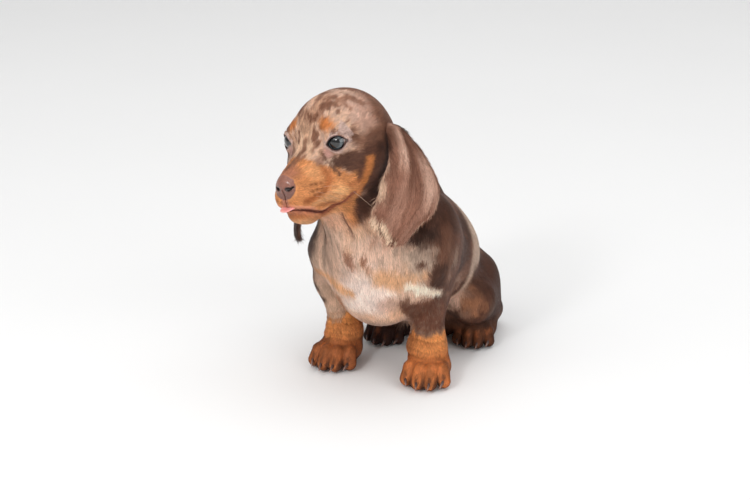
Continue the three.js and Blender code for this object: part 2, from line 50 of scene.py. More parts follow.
# Millimetres in the working frame, metres in the scene. CENTRE is the solids' own.
CENTRE = np.array([-6.5, 35.3, 0.0])

HEAD_AT = (-16.5, -28, 168.5)
HEAD_TURN = dict(yaw=-15, pitch=7, roll=-9)
SKULL = (31.5, 32.3, 31.5)
EYE_AT, EYE_R, EYE_OUT, EYE_UP = (18.6, -18.5, 7), 8.0, 27, 4
LID_THICK, LID_HALF, LID_ABOVE, LID_BELOW = 1.7, 6.6, 4.1, 4.2
LIP_Y = (-62, -52, -44, -37, -32.5, -28.5, -25)
LIP_Z = (-24.8, -28.2, -32.2, -34.8, -34.6, -31.4, -26.5)
CHEST_HALF, RUMP_Y = 41, 118
TOE_SIDE, TOE_REACH, TOE_R = (-12, -4.1, 4.1, 12), (-14, -20, -20, -14), 4.9
FORELEGS = {
    "left": dict(
        side=1, shoulder=36, upper=32, elbow=29, elbow_y=17,
        paw=(35, 3), wrist_x=-5, girth=12.4, heading=14,
    ),
    "right": dict(
        side=-1, shoulder=33, upper=36.5, elbow=43, elbow_y=14,
        paw=(-34.5, 8), wrist_x=-0.2, girth=10.8, heading=6,
    ),
}
HIND_LEGS = {
    "left": dict(side=1, hip=(18, 98, 42), knee=(38, 72, 36), hock=(31, 121, 13), paw=(35, 87), heading=14),
    "right": dict(
        side=-1, hip=(-18, 98, 42), knee=(-40, 66, 36), hock=(-36, 104, 13), paw=(-23, 66), heading=6
    ),
}
FORE_SIZE, HIND_SIZE = 1.05, 0.92

# Places along the tail, each with the radius there
TAIL = [
    (0, 124, 20, 12), (-3, 140, 9, 8), (-18, 150, 6.3, 6.6),
    (-38, 151, 5, 5.3), (-56, 145, 3.9, 4.1), (-68, 136, 2.9, 3),
]

# Shapes


def turn_of(yaw=0.0, pitch=0.0, roll=0.0):
    a, b, c = (math.radians(v) for v in (yaw, pitch, roll))
    z = np.array([[math.cos(a), -math.sin(a), 0], [math.sin(a), math.cos(a), 0], [0, 0, 1]])
    x = np.array([[1, 0, 0], [0, math.cos(b), -math.sin(b)], [0, math.sin(b), math.cos(b)]])
    y = np.array([[math.cos(c), 0, math.sin(c)], [0, 1, 0], [-math.sin(c), 0, math.cos(c)]])
    return z @ x @ y


def placed(field, turn, at):
    at = np.array(at, float)
    return lambda p: field((p - at) @ turn)


def egg(at, r, **turn):
    at, r = np.array(at, float), np.array(r, float)
    rot = turn_of(**turn) if turn else None

    def field(p):
        q = p - at
        if rot is not None:
            q = q @ rot
        q = q / r
        a = np.sqrt(np.einsum("ij,ij->i", q, q))
        q = q / r
        b = np.sqrt(np.einsum("ij,ij->i", q, q))
        return np.where(b < 1e-9, -r.min(), a * (a - 1) / np.maximum(b, 1e-9))

    return field


def limb(a, b, ra, rb):
    a, b = np.array(a, float), np.array(b, float)
    d = b - a
    dd = d @ d

    def field(p):
        q = p - a
        t = np.clip(q @ d / dd, 0, 1)
        q = q - t[:, None] * d
        return np.sqrt(np.einsum("ij,ij->i", q, q)) - (ra + (rb - ra) * t)

    return field


def melt(soft, *fields):
    def field(p):
        d = fields[0](p)
        for f in fields[1:]:
            e = f(p)
            h = np.maximum(soft - np.abs(d - e), 0) / soft
            d = np.minimum(d, e) - h * h * soft / 4
        return d

    return field


def within(field, lo, hi, far=40.0):
    """The field inside a box only; far outside its shape nothing melts into it."""
    lo, hi = np.array(lo, float), np.array(hi, float)

    def out(p):
        m = np.all((p > lo) & (p < hi), axis=1)
        d = np.full(len(p), far)
        if m.any():
            d[m] = field(p[m])
        return d

    return out


def smooth_max(a, b, soft):
    h = np.maximum(soft - np.abs(a - b), 0) / soft
    return np.maximum(a, b) + h * h * soft / 4


def both(make):
    return [make(1), make(-1)]


HEAD_ROT = turn_of(**HEAD_TURN)


def to_head(p):
    return (p - np.array(HEAD_AT)) @ HEAD_ROT


def from_head(p):
    return np.asarray(p, float) @ HEAD_ROT.T + np.array(HEAD_AT)


def head_field():
    skull = melt(
        14,
        egg((0, 6, 2), SKULL),
        egg((0, -10, 9), (18.5, 15, 18)),
        *both(lambda s: egg((18 * s, -7, -11), (13, 21, 15))),
    )
    brows = both(lambda s: egg((14 * s, -18.5, 15.2), (7.6, 5.2, 4), yaw=20 * s))
    muzzle = melt(
        7,
        limb((0, -18, -4.5), (0, -45, -11), 16.5, 10.5),
        *both(lambda s: egg((7 * s, -42, -20), (9.5, 15, 10), pitch=-2, yaw=-5 * s)),
        *both(lambda s: egg((14 * s, -21, -20), (11, 18, 13))),
        *both(lambda s: egg((4.5 * s, -50, -22), (6.5, 7, 6))),
    )
    jaw = melt(7, limb((0, -6, -28), (0, -40, -32.5), 14, 8.5), egg((0, -46, -33), (9.5, 9, 6.3)))
    nose = melt(
        2.5,
        egg((0, -53.5, -10.8), (7.5, 6, 6.6)),
        *both(lambda s: egg((5 * s, -53, -12.8), (3.8, 4.4, 4.2))),
    )
    lids = both(lambda s: egg((EYE_AT[0] * s, *EYE_AT[1:]), (EYE_R + LID_THICK,) * 3))
    face = melt(9, skull, muzzle)
    return melt(3.5, melt(5, melt(6, face, *brows), jaw), nose, *lids)


def trunk_field():
    return melt(
        22,
        egg((0, 24, 86), (CHEST_HALF + 1, 46, 54), pitch=34),
        egg((0, -4, 80), (33, 27, 42)),
        egg((0, 59, 72), (CHEST_HALF + 4.5, 48, 39), pitch=-40),
        egg((0, RUMP_Y - 23, 36), (32, 33, 41), pitch=-25),
    )


def neck_field():
    return melt(
        12, limb((-13, -12, 156), (-3, 18, 116), 30, 37), limb((-14, -32, 140), (-4, -14, 104), 20, 26)
    )


def paw_field(size):
    def toe(side, reach):
        knuckle = np.array((side * 0.85, reach * 0.66, 11.4)) * size
        tip = np.array((side, reach, 5.4)) * size
        heel = np.array((side * 0.6, 2, 11)) * size
        r = TOE_R * size
        return melt(1.5, limb(heel, knuckle, r * 1.1, r * 1.04), limb(knuckle, tip, r * 1.04, r))

    pad = egg((0, 3 * size, 8.5 * size), np.array((14.5, 15, 10)) * size)
    shape = melt(1.6, pad, *[toe(s, r) for s, r in zip(TOE_SIDE, TOE_REACH)])
    return within(shape, (-32, -42, -20), (32, 36, 42))


def foreleg_field(leg):
    side, elbow, elbow_y, paw, girth = (leg[k] for k in ("side", "elbow", "elbow_y", "paw", "girth"))
    wrist = (paw[0] + leg["wrist_x"] * side, paw[1] + 9, 24)
    shape = melt(
        9,
        egg((leg["shoulder"] * side, 12, 95), (15.5, 25, 32), pitch=16),
        limb((leg["upper"] * side, -2, 84), (elbow * side, elbow_y, 58), 15.5, girth + 0.4),
        limb((elbow * side, elbow_y - 1, 58), wrist, girth, girth - 1),
        egg((wrist[0], wrist[1] - 2, 22), (12.8, 12.6, 10)),
        placed(paw_field(FORE_SIZE), turn_of(yaw=leg["heading"]), (*paw, 0)),
    )
    return within(shape, (min(0, 90 * side), -60, -30), (max(0, 90 * side), 75, 160))


def hind_leg_field(leg):
    side, hip, knee, paw = leg["side"], leg["hip"], leg["knee"], leg["paw"]
    shape = melt(
        8,
        limb(hip, knee, 24, 16),
        egg((33 * side, (hip[1] + knee[1]) / 2 + 12, 32), (14, 26, 27)),
        limb(knee, leg["hock"], 15, 9),
        limb(leg["hock"], (paw[0], paw[1] + 8, 10), 9.5, 9),
        placed(paw_field(HIND_SIZE), turn_of(yaw=leg["heading"]), (*paw, 0)),
    )
    return within(shape, (min(-30 * side, 100 * side), 20, -30), (max(-30 * side, 100 * side), 180, 110))


def tail_field():
    return melt(3, *[limb(a[:3], b[:3], a[3], b[3]) for a, b in zip(TAIL, TAIL[1:])])


HEAD = head_field()
BODY = melt(
    9,
    melt(
        10,
        trunk_field(),
        neck_field(),
        within(lambda p: HEAD(to_head(p)), (-95, -115, 80), (60, 60, 240)),
        foreleg_field(FORELEGS["left"]),
        foreleg_field(FORELEGS["right"]),
    ),
    hind_leg_field(HIND_LEGS["left"]),
    hind_leg_field(HIND_LEGS["right"]),
    within(tail_field(), (-110, 90, -30), (40, 190, 60)),
)


def unit(v):
    return v / np.maximum(np.linalg.norm(v, axis=1, keepdims=True), 1e-6)


STEP = 0.05


def slope(field, p):
    """The field, its gradient, and the way out of the body at unit length."""
    d = field(p)
    g = np.stack([field(p + STEP * np.eye(3)[i]) - d for i in range(3)], 1) / STEP
    return d, g, unit(g)


# Noise


def lattice(i, j, k, seed):
    with np.errstate(over="ignore"):
        h = i.astype(np.uint32) * np.uint32(73856093) ^ j.astype(np.uint32) * np.uint32(19349663)
        h = h ^ k.astype(np.uint32) * np.uint32(83492791) ^ np.uint32(seed * 2654435 + 1013)
        h = (h ^ (h >> np.uint32(13))) * np.uint32(1274126177)
        h = (h ^ (h >> np.uint32(16))) * np.uint32(2246822519)
    return ((h ^ (h >> np.uint32(15))) & np.uint32(0xFFFFFF)) / float(0xFFFFFF)


def noise(p, size, seed=0):
    q = p / size + 1000.5
    b = np.floor(q).astype(np.int64)
    f = q - b
    f = f * f * (3 - 2 * f)
    out = 0
    for dx in (0, 1):
        for dy in (0, 1):
            for dz in (0, 1):
                w = np.abs(1 - dx - f[:, 0]) * np.abs(1 - dy - f[:, 1]) * np.abs(1 - dz - f[:, 2])
                out = out + w * lattice(b[:, 0] + dx, b[:, 1] + dy, b[:, 2] + dz, seed)
    return out


def fbm(p, size, seed=0, octaves=3):
    total, weight = 0, 0
    for o in range(octaves):
        total = total + noise(p, size / 2**o, seed + 17 * o) * 0.5**o
        weight += 0.5**o
    return total / weight


# Folds and the depth of the coat


def smooth(x, a, b):
    t = np.clip((x - a) / (b - a), 0, 1)
    return t * t * (3 - 2 * t)


def in_paw(p, paw, heading):
    return (p - np.array((*paw, 0.0))) @ turn_of(yaw=heading)


FEET = {}
for kind, legs, size in (("foreleg", FORELEGS, FORE_SIZE), ("hindleg", HIND_LEGS, HIND_SIZE)):
    for which, leg in legs.items():
        FEET[f"{kind}_{which}"] = (leg["paw"], leg["heading"], size)


def near_foot(p, name, height=16.0):
    """How far a point lies outside the box round a foot."""
    paw, heading, size = FEET[name]
    q = in_paw(p, paw, heading)
    x, y, z = q.T
    return np.maximum.reduce([np.abs(x) - 21 * size, -26 * size - y, y - 15 * size, z - height * size])


NECK_AT, NECK_OUT = np.array((-12.0, -8.0, 146.0)), np.array((-0.14, -0.6, 0.79))
NECK_OUT = NECK_OUT / np.linalg.norm(NECK_OUT)


def beyond_neck(p):
    return (p - NECK_AT) @ NECK_OUT


def coat_depth(p):
    """The hair's depth over the skin: least on the face and feet."""
    q = to_head(p)
    face = smooth(q[:, 1], 6, -26) * smooth(beyond_neck(p), -6, 4)
    depth = 1.0 - 0.35 * smooth(beyond_neck(p), -8, 6) - 0.25 * face
    low = smooth(p[:, 2], 56, 22)
    legs = low * smooth(np.abs(p[:, 0]), 14, 24) * smooth(p[:, 1], 40, 20)
    foot = np.zeros(len(p))
    for name in FEET:
        foot = np.maximum(foot, smooth(near_foot(p, name, 24), 8, -2))
    return depth - 0.4 * np.maximum(legs, foot)


def groove(x, width):
    """A rounded groove of depth 1 where x = 0."""
    return np.exp(-((x / width) ** 2))


# Heights and depths of the wrists' creases
WRINKLES = [(29.4, 0.9), (26.4, 0.75), (23.2, 0.7), (33.0, 0.45), (37.5, 0.3)]


def wrist_creases(p, leg):
    """Creases of the loose skin round one wrist: 1 at the bottom of a deep one."""
    side, (px, py) = leg["side"], leg["paw"]
    wave = (noise(p, 14, 3) - 0.5) * 2.8 + (noise(p, 5, 4) - 0.5) * 1.2
    wx = px + leg["wrist_x"] * side
    near = smooth(np.hypot(p[:, 0] - wx, p[:, 1] - py - 9), 22, 17)
    front = 0.4 + 0.6 * smooth(p[:, 1], py + 14, py - 2)
    z = p[:, 2] + 0.08 * (p[:, 0] - px) * side + wave
    out = np.zeros(len(p))
    for i, (at, deep) in enumerate(WRINKLES):
        power = deep * (0.4 + 1.2 * noise(p, 9, 20 + i))
        out += near * front * power * groove(z - at, 1.05)
    ankle = smooth(np.hypot(p[:, 0] - px, p[:, 1] - py - 3), 24, 17) * smooth(p[:, 1], py + 12, py - 4)
    return out + ankle * 0.6 * groove(z - 19.4 + 0.014 * (p[:, 0] - px) ** 2, 1.2)


# Upper end, lower end and depth of each crease
THROAT = [((-5.4, 129), (-1.2, 112), 1.0), ((4.0, 127), (9.0, 112), 0.35), ((-14, 124), (-11, 110), 0.25)]


def throat_creases(p):
    """The deep crease under the jaw, with fainter ones beside it."""
    out = np.zeros(len(p))
    x, y, z = p.T
    for (x0, z0), (x1, z1), power in THROAT:
        t = (z0 - z) / (z0 - z1)
        off = x - x0 - (x1 - x0) * t + 1.1 * np.sin(4 * t)
        out += power * groove(off, 1.0) * smooth(t, -0.1, 0.25) * smooth(t, 1.25, 0.7)
    return out * smooth(y, -22, -32)


PAD = np.array(
    [
        (14.2, -34.3, -6.2), (18.7, -35.8, -13.5), (18.1, -39.9, -19.5), (15.8, -46.7, -21.8),
        (13, -53.5, -21.5),
    ]
)
FAR = 99.0


def to_segment(q, a, b):
    """The distance to the straight line from a to b."""
    t = np.clip((q - a) @ (b - a) / ((b - a) @ (b - a)), 0, 1)
    return np.linalg.norm(q - a - t[:, None] * (b - a), axis=1)


def pad_creases(q):
    """The soft crease behind and below each whisker pad."""
    d = np.full(len(q), FAR)
    near = (q[:, 1] < -28) & (q[:, 2] < 0) & (q[:, 2] > -30)
    r = q[near]
    r[:, 0] = np.abs(r[:, 0])
    for a, b in zip(PAD, PAD[1:]):
        d[near] = np.minimum(d[near], to_segment(r, a, b))
    return groove(d, 1.9)


# Place across, depth and width of the chest's loose folds
CHEST_FOLDS = [(-8, 0.35, 2.2), (6, 0.4, 2.2), (-19, 0.3, 2.4), (14, 0.35, 2.4)]


def folds(p):
    """Loose skin: creases round the wrists, down the throat and over the brow, in millimetres."""
    out = 1.5 * throat_creases(p)
    for leg in FORELEGS.values():
        out += wrist_creases(p, leg)
    q = to_head(p)
    throat = smooth(q[:, 2], -36, -46) * smooth(p[:, 2], 92, 104) * smooth(p[:, 1], -14, -26)
    x = p[:, 0] + 0.24 * (p[:, 2] - 115) + (noise(p, 22, 7) - 0.5) * 4
    for at, power, width in CHEST_FOLDS:
        out += throat * power * groove(x - at, width)
    wave = (noise(p, 14, 3) - 0.5) * 5 + (noise(p, 5, 4) - 0.5) * 1.6
    brow = smooth(np.abs(q[:, 0]), 3, 9) * smooth(np.abs(q[:, 0]), 26, 18) * smooth(q[:, 1], -14, -20)
    z = q[:, 2] - 22.5 - 0.05 * (np.abs(q[:, 0]) - 14) ** 2 * 0.35 + wave * 0.3
    return out + 0.25 * brow * groove(z, 1.1) + 0.85 * pad_creases(q)


def lip_height(y):
    return np.interp(y, LIP_Y, LIP_Z)


def gaze_of(side):
    """The eye's own axes: across, out of the head, up."""
    out = turn_of(yaw=EYE_OUT * side) @ turn_of(pitch=-EYE_UP)
    return out[:, 0], -out[:, 1], out[:, 2]


def eye_local(q, side):
    """Head-local points in the eye's axes: x away from the nose, y out, z up."""
    across, out, up = gaze_of(side)
    d = q - np.array((EYE_AT[0] * side, EYE_AT[1], EYE_AT[2]))
    return np.stack([d @ across * side, d @ out, d @ up], 1)


def opening(e, grow=0.0):
    """How far a point lies outside the lids' almond opening."""
    x = e[:, 0] - 0.2
    half = LID_HALF + grow
    t = np.clip(x / half, -1, 1)
    top = (LID_ABOVE + grow) * (1 - np.abs(t) ** 2.3) ** 0.85 + 0.4 * t
    low = -(LID_BELOW + grow) * (1 - np.abs(t) ** 2.2) ** 0.9 + 0.4 * t
    z = e[:, 2]
    side = np.maximum(z - top, low - z) * 0.9
    return np.maximum(side, np.abs(x) - half)


def nostril_field():
    parts = []
    for s in (1, -1):
        parts.append(egg((3.4 * s, -60, -12.6), (1.6, 5, 1.35), yaw=-24 * s))
        parts.append(egg((6.2 * s, -58, -12.3), (2.5, 3.4, 0.6), roll=-26 * s))
    return melt(0.8, *parts)


NOSTRILS = nostril_field()
NOSE_CUT = egg((0, -58, -11.8), (9.6, 8.2, 8.3))


def flesh(p):
    """The skin's own field, in the design frame."""
    d = BODY(p) + coat_depth(p) + folds(p)
    return smooth_max(d, 0.45 - p[:, 2], 1.0)


def head_flesh(q):
    """The head's skin, in its own frame, with eyelids, lips and nostrils cut in."""
    d = flesh(from_head(q))
    near = (q[:, 1] < -6) & (q[:, 2] > -45)
    if near.any():
        r, f = q[near], d[near]
        lip = np.abs(r[:, 2] - lip_height(r[:, 1]) - 0.5 * (noise(r, 9, 31) - 0.5)) * 0.93
        front = smooth(r[:, 1], -25, -29)
        slot = np.maximum(lip - 0.4 * front, -(f + 1.3 * front + 0.05))
        rolled = 0.45 * groove(lip - 1.7, 1.1) * front * smooth(-f, 1.6, 0.2)
        f = smooth_max(f - rolled, -slot, 0.9)
        f = smooth_max(f, -NOSTRILS(r), 0.5)
        philtrum = np.maximum(np.abs(r[:, 0]) * 0.9 - 0.3, np.maximum(-28.5 - r[:, 2], r[:, 2] + 13))
        f = smooth_max(f, -np.maximum(philtrum, r[:, 1] + 50), 0.7)
        for s in (1, -1):
            e = eye_local(r, s)
            m = (np.einsum("ij,ij->i", e, e) < 190) & (e[:, 1] > 0)
            if m.any():
                k = e[m]
                ball = np.sqrt(np.einsum("ij,ij->i", k, k)) - (EYE_R + 0.15)
                hole = np.maximum(opening(k), -k[:, 1])
                crease = 0.35 * groove(opening(k, 2.6), 0.9) * smooth(k[:, 2], -1.5, 2.5)
                f[m] = np.maximum(smooth_max(f[m], -hole, 1.1), -ball) + crease
        d[near] = f
    return d


# Meshing


CHUNK, CORES = 25000, 4


def chunked(field, p):
    """The field at many points, worked out on all the processor's cores."""
    if len(p) <= CHUNK:
        return field(p)
    with ThreadPoolExecutor(CORES) as pool:
        return np.concatenate(list(pool.map(field, [p[i : i + CHUNK] for i in range(0, len(p), CHUNK)])))


CORNERS = np.array([[c & 1, (c >> 1) & 1, c >> 2] for c in range(8)])
EDGES = [(c, c | (1 << a)) for a in range(3) for c in range(8) if not CORNERS[c][a]]
BLOCK = 8


def sampled(field, lo, hi, step):
    """The field on a grid, worked out only in blocks of cells that lie near the surface."""
    block = BLOCK
    nb = np.ceil((hi - lo) / (step * block)).astype(int)
    shape = nb * block + 1
    axes = [lo[a] + np.arange(nb[a]) * step * block + step * block / 2 for a in range(3)]
    centres = np.stack(np.meshgrid(*axes, indexing="ij"), -1).reshape(-1, 3)
    d = chunked(field, centres)
    keep = np.nonzero(np.abs(d) < step * block * 0.9 + 3.0)[0]
    value = np.full(shape, np.nan, np.float32)
    sign = np.where(d < 0, -1.0, 1.0).reshape(nb)
    big = np.repeat(np.repeat(np.repeat(sign, block, 0), block, 1), block, 2)
    value[:-1, :-1, :-1] = big * 9
    value[-1] = value[-2]
    value[:, -1] = value[:, -2]
    value[:, :, -1] = value[:, :, -2]
    bi = np.stack(np.unravel_index(keep, nb), 1)
    local = np.stack(np.meshgrid(*[np.arange(block + 1)] * 3, indexing="ij"), -1).reshape(-1, 3)
    flat = value.reshape(-1)
    todo = np.zeros(flat.shape[0], bool)
    for i in range(0, len(bi), 2000):
        ijk = (bi[i : i + 2000, None, :] * block + local[None]).reshape(-1, 3)
        todo[np.ravel_multi_index(ijk.T, shape)] = True
    index = np.nonzero(todo)[0]
    flat[index] = chunked(field, lo + np.stack(np.unravel_index(index, shape), 1) * step)
    return flat.reshape(shape)


def crossings(value, cells):
    """The mean place, inside each cell, where its edges cross the surface."""
    total, n = np.zeros((len(cells), 3)), np.zeros(len(cells))
    corner = [value[tuple((cells + c).T)] for c in CORNERS]
    for a, b in EDGES:
        va, vb = corner[a], corner[b]
        m = (va < 0) != (vb < 0)
        t = np.where(m, va / np.where(m, va - vb, 1), 0)[:, None]
        total += np.where(m[:, None], CORNERS[a] + t * (CORNERS[b] - CORNERS[a]), 0)
        n += m
    return total / n[:, None]


def net(field, lo, hi, step):
    """Surface net of the field in a box: points and quads."""
    lo, hi = np.array(lo, float), np.array(hi, float)
    value = sampled(field, lo, hi, step)
    shape = value.shape
    inside = value < 0
    count = np.zeros(np.array(shape) - 1, np.int8)
    for c in CORNERS:
        count += inside[tuple(slice(c[a], shape[a] - 1 + c[a]) for a in range(3))]
    cells = np.stack(np.nonzero((count > 0) & (count < 8)), 1)
    cell_id = np.full(np.array(shape) - 1, -1, np.int64)
    cell_id[tuple(cells.T)] = np.arange(len(cells))
    points = lo + (cells + crossings(value, cells)) * step
    quads = []
    for a in range(3):
        b, c = (a + 1) % 3, (a + 2) % 3
        upper = [slice(1, shape[i] - 1) for i in range(3)]
        first = list(upper)
        second = list(upper)
        first[a] = slice(0, shape[a] - 1)
        second[a] = slice(1, shape[a])
        p, q = inside[tuple(first)], inside[tuple(second)]
        ijk = np.stack(np.nonzero(p != q), 1)
        grow = np.ones(3, int)
        grow[a] = 0
        ijk = ijk + grow
        flip = inside[tuple(ijk.T)]
        eb, ec = np.eye(3, dtype=int)[b], np.eye(3, dtype=int)[c]
        ring = [ijk, ijk - eb, ijk - eb - ec, ijk - ec]
        ids = np.stack([cell_id[tuple(r.T)] for r in ring], 1)
        quads.append(np.where(flip[:, None], ids, ids[:, ::-1]))
    quads = np.concatenate(quads)
    return points, quads[(quads >= 0).all(1)]


MOST = 0.6


def settle(field, p):
    """Moves points onto the surface, by MOST at most, and returns them with its normals."""
    d = chunked(field, p)
    g = np.stack([chunked(field, p + STEP * np.eye(3)[i]) - d for i in range(3)], 1) / STEP
    size = np.maximum(np.einsum("ij,ij->i", g, g), 0.25)
    return p - g * np.clip(d / size, -MOST, MOST)[:, None], unit(g)


def used_only(p, faces, *more):
    """Points, faces and more without the points that no face uses."""
    used = np.unique(faces)
    index = np.full(len(p), -1, np.int64)
    index[used] = np.arange(len(used))
    return [p[used], index[faces], *[m[used] for m in more]]


# Markings: one function colours the skin and the hair alike


def rgb(*c):
    return np.array(c, float) / 255


PALE, BUFF, GREIGE = rgb(202, 166, 145), rgb(210, 170, 140), rgb(172, 145, 127)
BROWN, DARK, DEEP = rgb(130, 87, 67), rgb(80, 51, 39), rgb(58, 37, 29)
TAN, RUST, CREAM = rgb(198, 130, 80), rgb(146, 85, 52), rgb(238, 215, 203)
PINK, SAND, ROSE = rgb(230, 194, 173), rgb(218, 164, 120), rgb(188, 152, 135)


def spot(q, at, r, soft=0.3, wobble=0.5, seed=0, size=None, grain=None):
    """A soft-edged patch with an uneven rim, as a weight from 0 to 1."""
    grain = q if grain is None else grain
    d = (q - np.array(at, float)) / np.array(r, float)
    d = np.sqrt(np.einsum("ij,ij->i", d, d))
    out = np.zeros(len(q))
    near = d < 1 + soft + wobble
    if near.any():
        rim = fbm(grain[near], size or max(1.2, min(r) * 0.55), seed + 100, 2) - 0.5
        out[near] = 1 - smooth(d[near] + wobble * rim * 2, 1 - soft, 1 + soft)
    return out


def band(q, a, b, r, soft=0.3, wobble=0.5, seed=0):
    """A patch drawn out from one place to another."""
    d = to_segment(q, np.array(a, float), np.array(b, float)) / r
    out = np.zeros(len(q))
    near = d < 1 + soft + wobble
    if near.any():
        rim = fbm(q[near], max(1.2, r * 0.55), seed + 100, 2) - 0.5
        out[near] = 1 - smooth(d[near] + wobble * rim * 2, 1 - soft, 1 + soft)
    return out


def over(base, colour, weight):
    return base + (np.asarray(colour) - base) * weight[:, None]


def greatest(q, patches):
    """The greatest weight of some patches: each has its shape and the shape's own values."""
    return np.maximum.reduce([shape(q, *values) for shape, *values in patches])


def laid(c, q, rows, within=1):
    """The colour with layers over it: rows of colour, strength and one or more patches."""
    for colour, power, *patches in rows:
        c = over(c, colour, power * within * greatest(q, patches))
    return c


# Where the hair of the head starts from
NOSE_TIP = np.array((0, -64, -12))


def combed(q):
    """Head places drawn together towards the nose, so that noise runs out along the hair."""
    d = q - NOSE_TIP
    r = np.linalg.norm(d, axis=1, keepdims=True)
    return d / r * (30 + 0.42 * r)


# Brown flecks of the forehead: place, radii and strength
FLECKS = [
    ((17, 0, 29), (8, 2.6, 3), 0.75),
    ((9, -7, 31.5), (5, 2.4, 3), 0.75),
    ((9.6, -15.7, 27.7), (5, 4.4, 3), 0.9),
    ((3.4, -25, 23.5), (4.4, 4, 5), 0.9),
    ((7, -28.6, 12), (2.6, 3, 6), 0.85),
    ((-11.4, -17.6, 25.4), (2.8, 5, 5.5), 0.95),
    ((-3, -3, 33.5), (5, 2.6, 3), 0.7),
    ((15, -23, 24), (3.4, 3, 2), 0.7),
    ((-18, -6, 27), (7, 5, 5), 0.8),
    ((-6, -30.5, 12), (1.8, 3, 5), 0.8),
    ((-16, 8, 28), (6, 7, 5), 0.6),
    ((2, 14, 33), (8, 6, 5), 0.7),
    ((21, 3, 25), (5, 2.2, 3), 0.6),
    ((-26, -10, 8), (7, 7, 5), 0.8),
    ((0.5, -31.5, 9), (1.1, 3, 4), 0.6),
    ((14.5, -12, 28), (4, 1.7, 2.6), 0.75),
    ((18.5, -15, 24.5), (3.4, 1.6, 2.2), 0.7),
    ((22, -7, 24), (4, 1.6, 2.4), 0.65),
    ((25, -13, 18.5), (3, 1.5, 2.2), 0.65),
]


NAPE = [
    (
        BROWN * 0.8, 0.8, (spot, (31, 18, 8), (10, 10, 13), 0.5, 0.5, 1),
        (spot, (-31, 16, 8), (11, 12, 15), 0.5, 0.5, 2),
    ),
]
# Painted shade under the brows, just above each eye
BROW_SHADE = [
    (
        BROWN * 0.85, 0.9,
        (band, (20, -24.5, 15), (30, -12, 7), 1.9, 0.5, 0.8, 25),
        (band, (-20, -24, 15), (-30, -12, 7), 1.9, 0.5, 0.8, 26),
    ),
]


def forehead_marks(c, q, f, streaks):
    """Pale hair with brown flecks, brown from the ears back, a rose-grey band over the skull that is partly
    painted sheen, and painted shade under the brows.
    """
    x, y, z = q.T
    ax = np.abs(x)
    blotch = fbm(f * (1, 1, 1.15), 4.6, 43, 3) + 0.22 * (streaks - 0.5)
    c = over(c, BROWN, 0.8 * smooth(blotch, 0.505, 0.565) * smooth(z, -4, 3))
    c = over(c, BUFF, 0.6 * smooth(streaks, 0.42, 0.66) * smooth(y, 2, -14))
    behind = y + 0.25 * ax + 0.25 * np.maximum(5 - z, 0)
    behind = behind + 8 * (fbm(f, 6, 44, 2) - 0.5) + 2 * (streaks - 0.5)
    # Rose-grey over the back of the skull's top: partly the pale coat, partly painted sheen
    c = over(c, ROSE, 0.75 * smooth(ax, 12, 22) * smooth(y, -16, -6) * smooth(z, 3, 11))
    c = over(c, BROWN * 0.95, 0.92 * smooth(behind, 7, 19))
    c = laid(c, q, NAPE)
    c = over(c, BUFF, 0.7 * smooth(ax, 10, 4) * smooth(y, -20, -28) * smooth(z, -4, 3))
    bridge = 0.6 * smooth(ax, 9, 5) * smooth(y, -23, -27) * smooth(z, -3, 1) * smooth(z, 14, 8)
    c = over(c, rgb(226, 190, 160), bridge * smooth(streaks, 0.35, 0.55))
    for i, (at, r, k) in enumerate(FLECKS):
        fleck = spot(q, at, np.array(r) * 1.05, 0.3, 0.9, seed=10 + i, size=1.8, grain=f)
        c = over(c, BROWN * 0.97, min(k * 1.1, 1) * fleck)
    return laid(c, q, BROW_SHADE)


# Dark hair that runs round the eyes and down the cheeks
MASK = [
    (
        DARK, 0.96,
        (band, (23.5, -25.5, -5), (31.5, -12, -6), 5.6, 0.4, 0.5, 4),
        (spot, (29.4, -19.4, -11), (4, 3.6, 6), 0.4, 0.4, 5),
        (spot, (27.2, -22.6, -9.6), (5, 5, 4), 0.4, 0.4, 15),
        (spot, (21, -28.5, -5.5), (4.6, 5, 5), 0.45, 0.6, 12),
        (band, (-23.5, -25, -5), (-31.5, -12, -6), 6, 0.4, 0.5, 6),
        (spot, (-29.4, -19.4, -11), (4, 3.6, 6), 0.4, 0.4, 7),
        (spot, (-27.2, -22.6, -9.6), (5, 5, 4), 0.4, 0.4, 16),
    ),
    (DARK * 0.95, 0.95, (spot, (28, -1, -21), (15, 10, 19), 0.25, 0.3, 8)),
    (DARK * 0.95, 0.95, (spot, (-28, -1, -21), (15, 10, 19), 0.25, 0.3, 9)),
    # Painted shadow of each ear, down the side of the head under its front edge
    (
        DEEP, 0.8,
        (band, (34, 1, -8), (26, 1, -34), 5.5, 0.5, 0.3, 27),
        (band, (-34, 1, -8), (-26, 1, -34), 5.5, 0.5, 0.3, 28),
    ),
]


def mask_marks(c, q, uneven):
    """The dark round the eyes, over the cheeks and below the ears, with a painted shadow of each ear down
    the side of the head.
    """
    x, y, z = q.T
    ax = np.abs(x)
    side = 0.9 * smooth(ax, 22, 29) * smooth(y + 0.4 * z, -19, -11) * smooth(z + uneven, 14, 4)
    c = over(c, BROWN * 0.85, side)
    c = over(c, DARK, 0.95 * smooth(ax, 24, 30) * smooth(y, -14, -8) * smooth(z + uneven, 6, -3))
    return laid(c, q, MASK)


# Painted highlights, sandy, on the tan of the cheeks and of the muzzle's sides, where light falls on the
# rounded whisker pads
TAN_HIGHLIGHTS = [
    (rgb(234, 182, 128), 0.75, (spot, (20.5, -34, -23.5), (7, 8, 6), 0.6, 0.4, 29)),
    (rgb(234, 182, 128), 0.75, (spot, (-20.5, -34, -23.5), (7, 8, 6), 0.6, 0.4, 29)),
    (
        rgb(228, 168, 116), 0.65,
        (spot, (12, -40, -6), (5, 7, 7), 0.6, 0.5, 30),
        (spot, (-12, -40, -6), (5, 7, 7), 0.6, 0.5, 37),
    ),
]
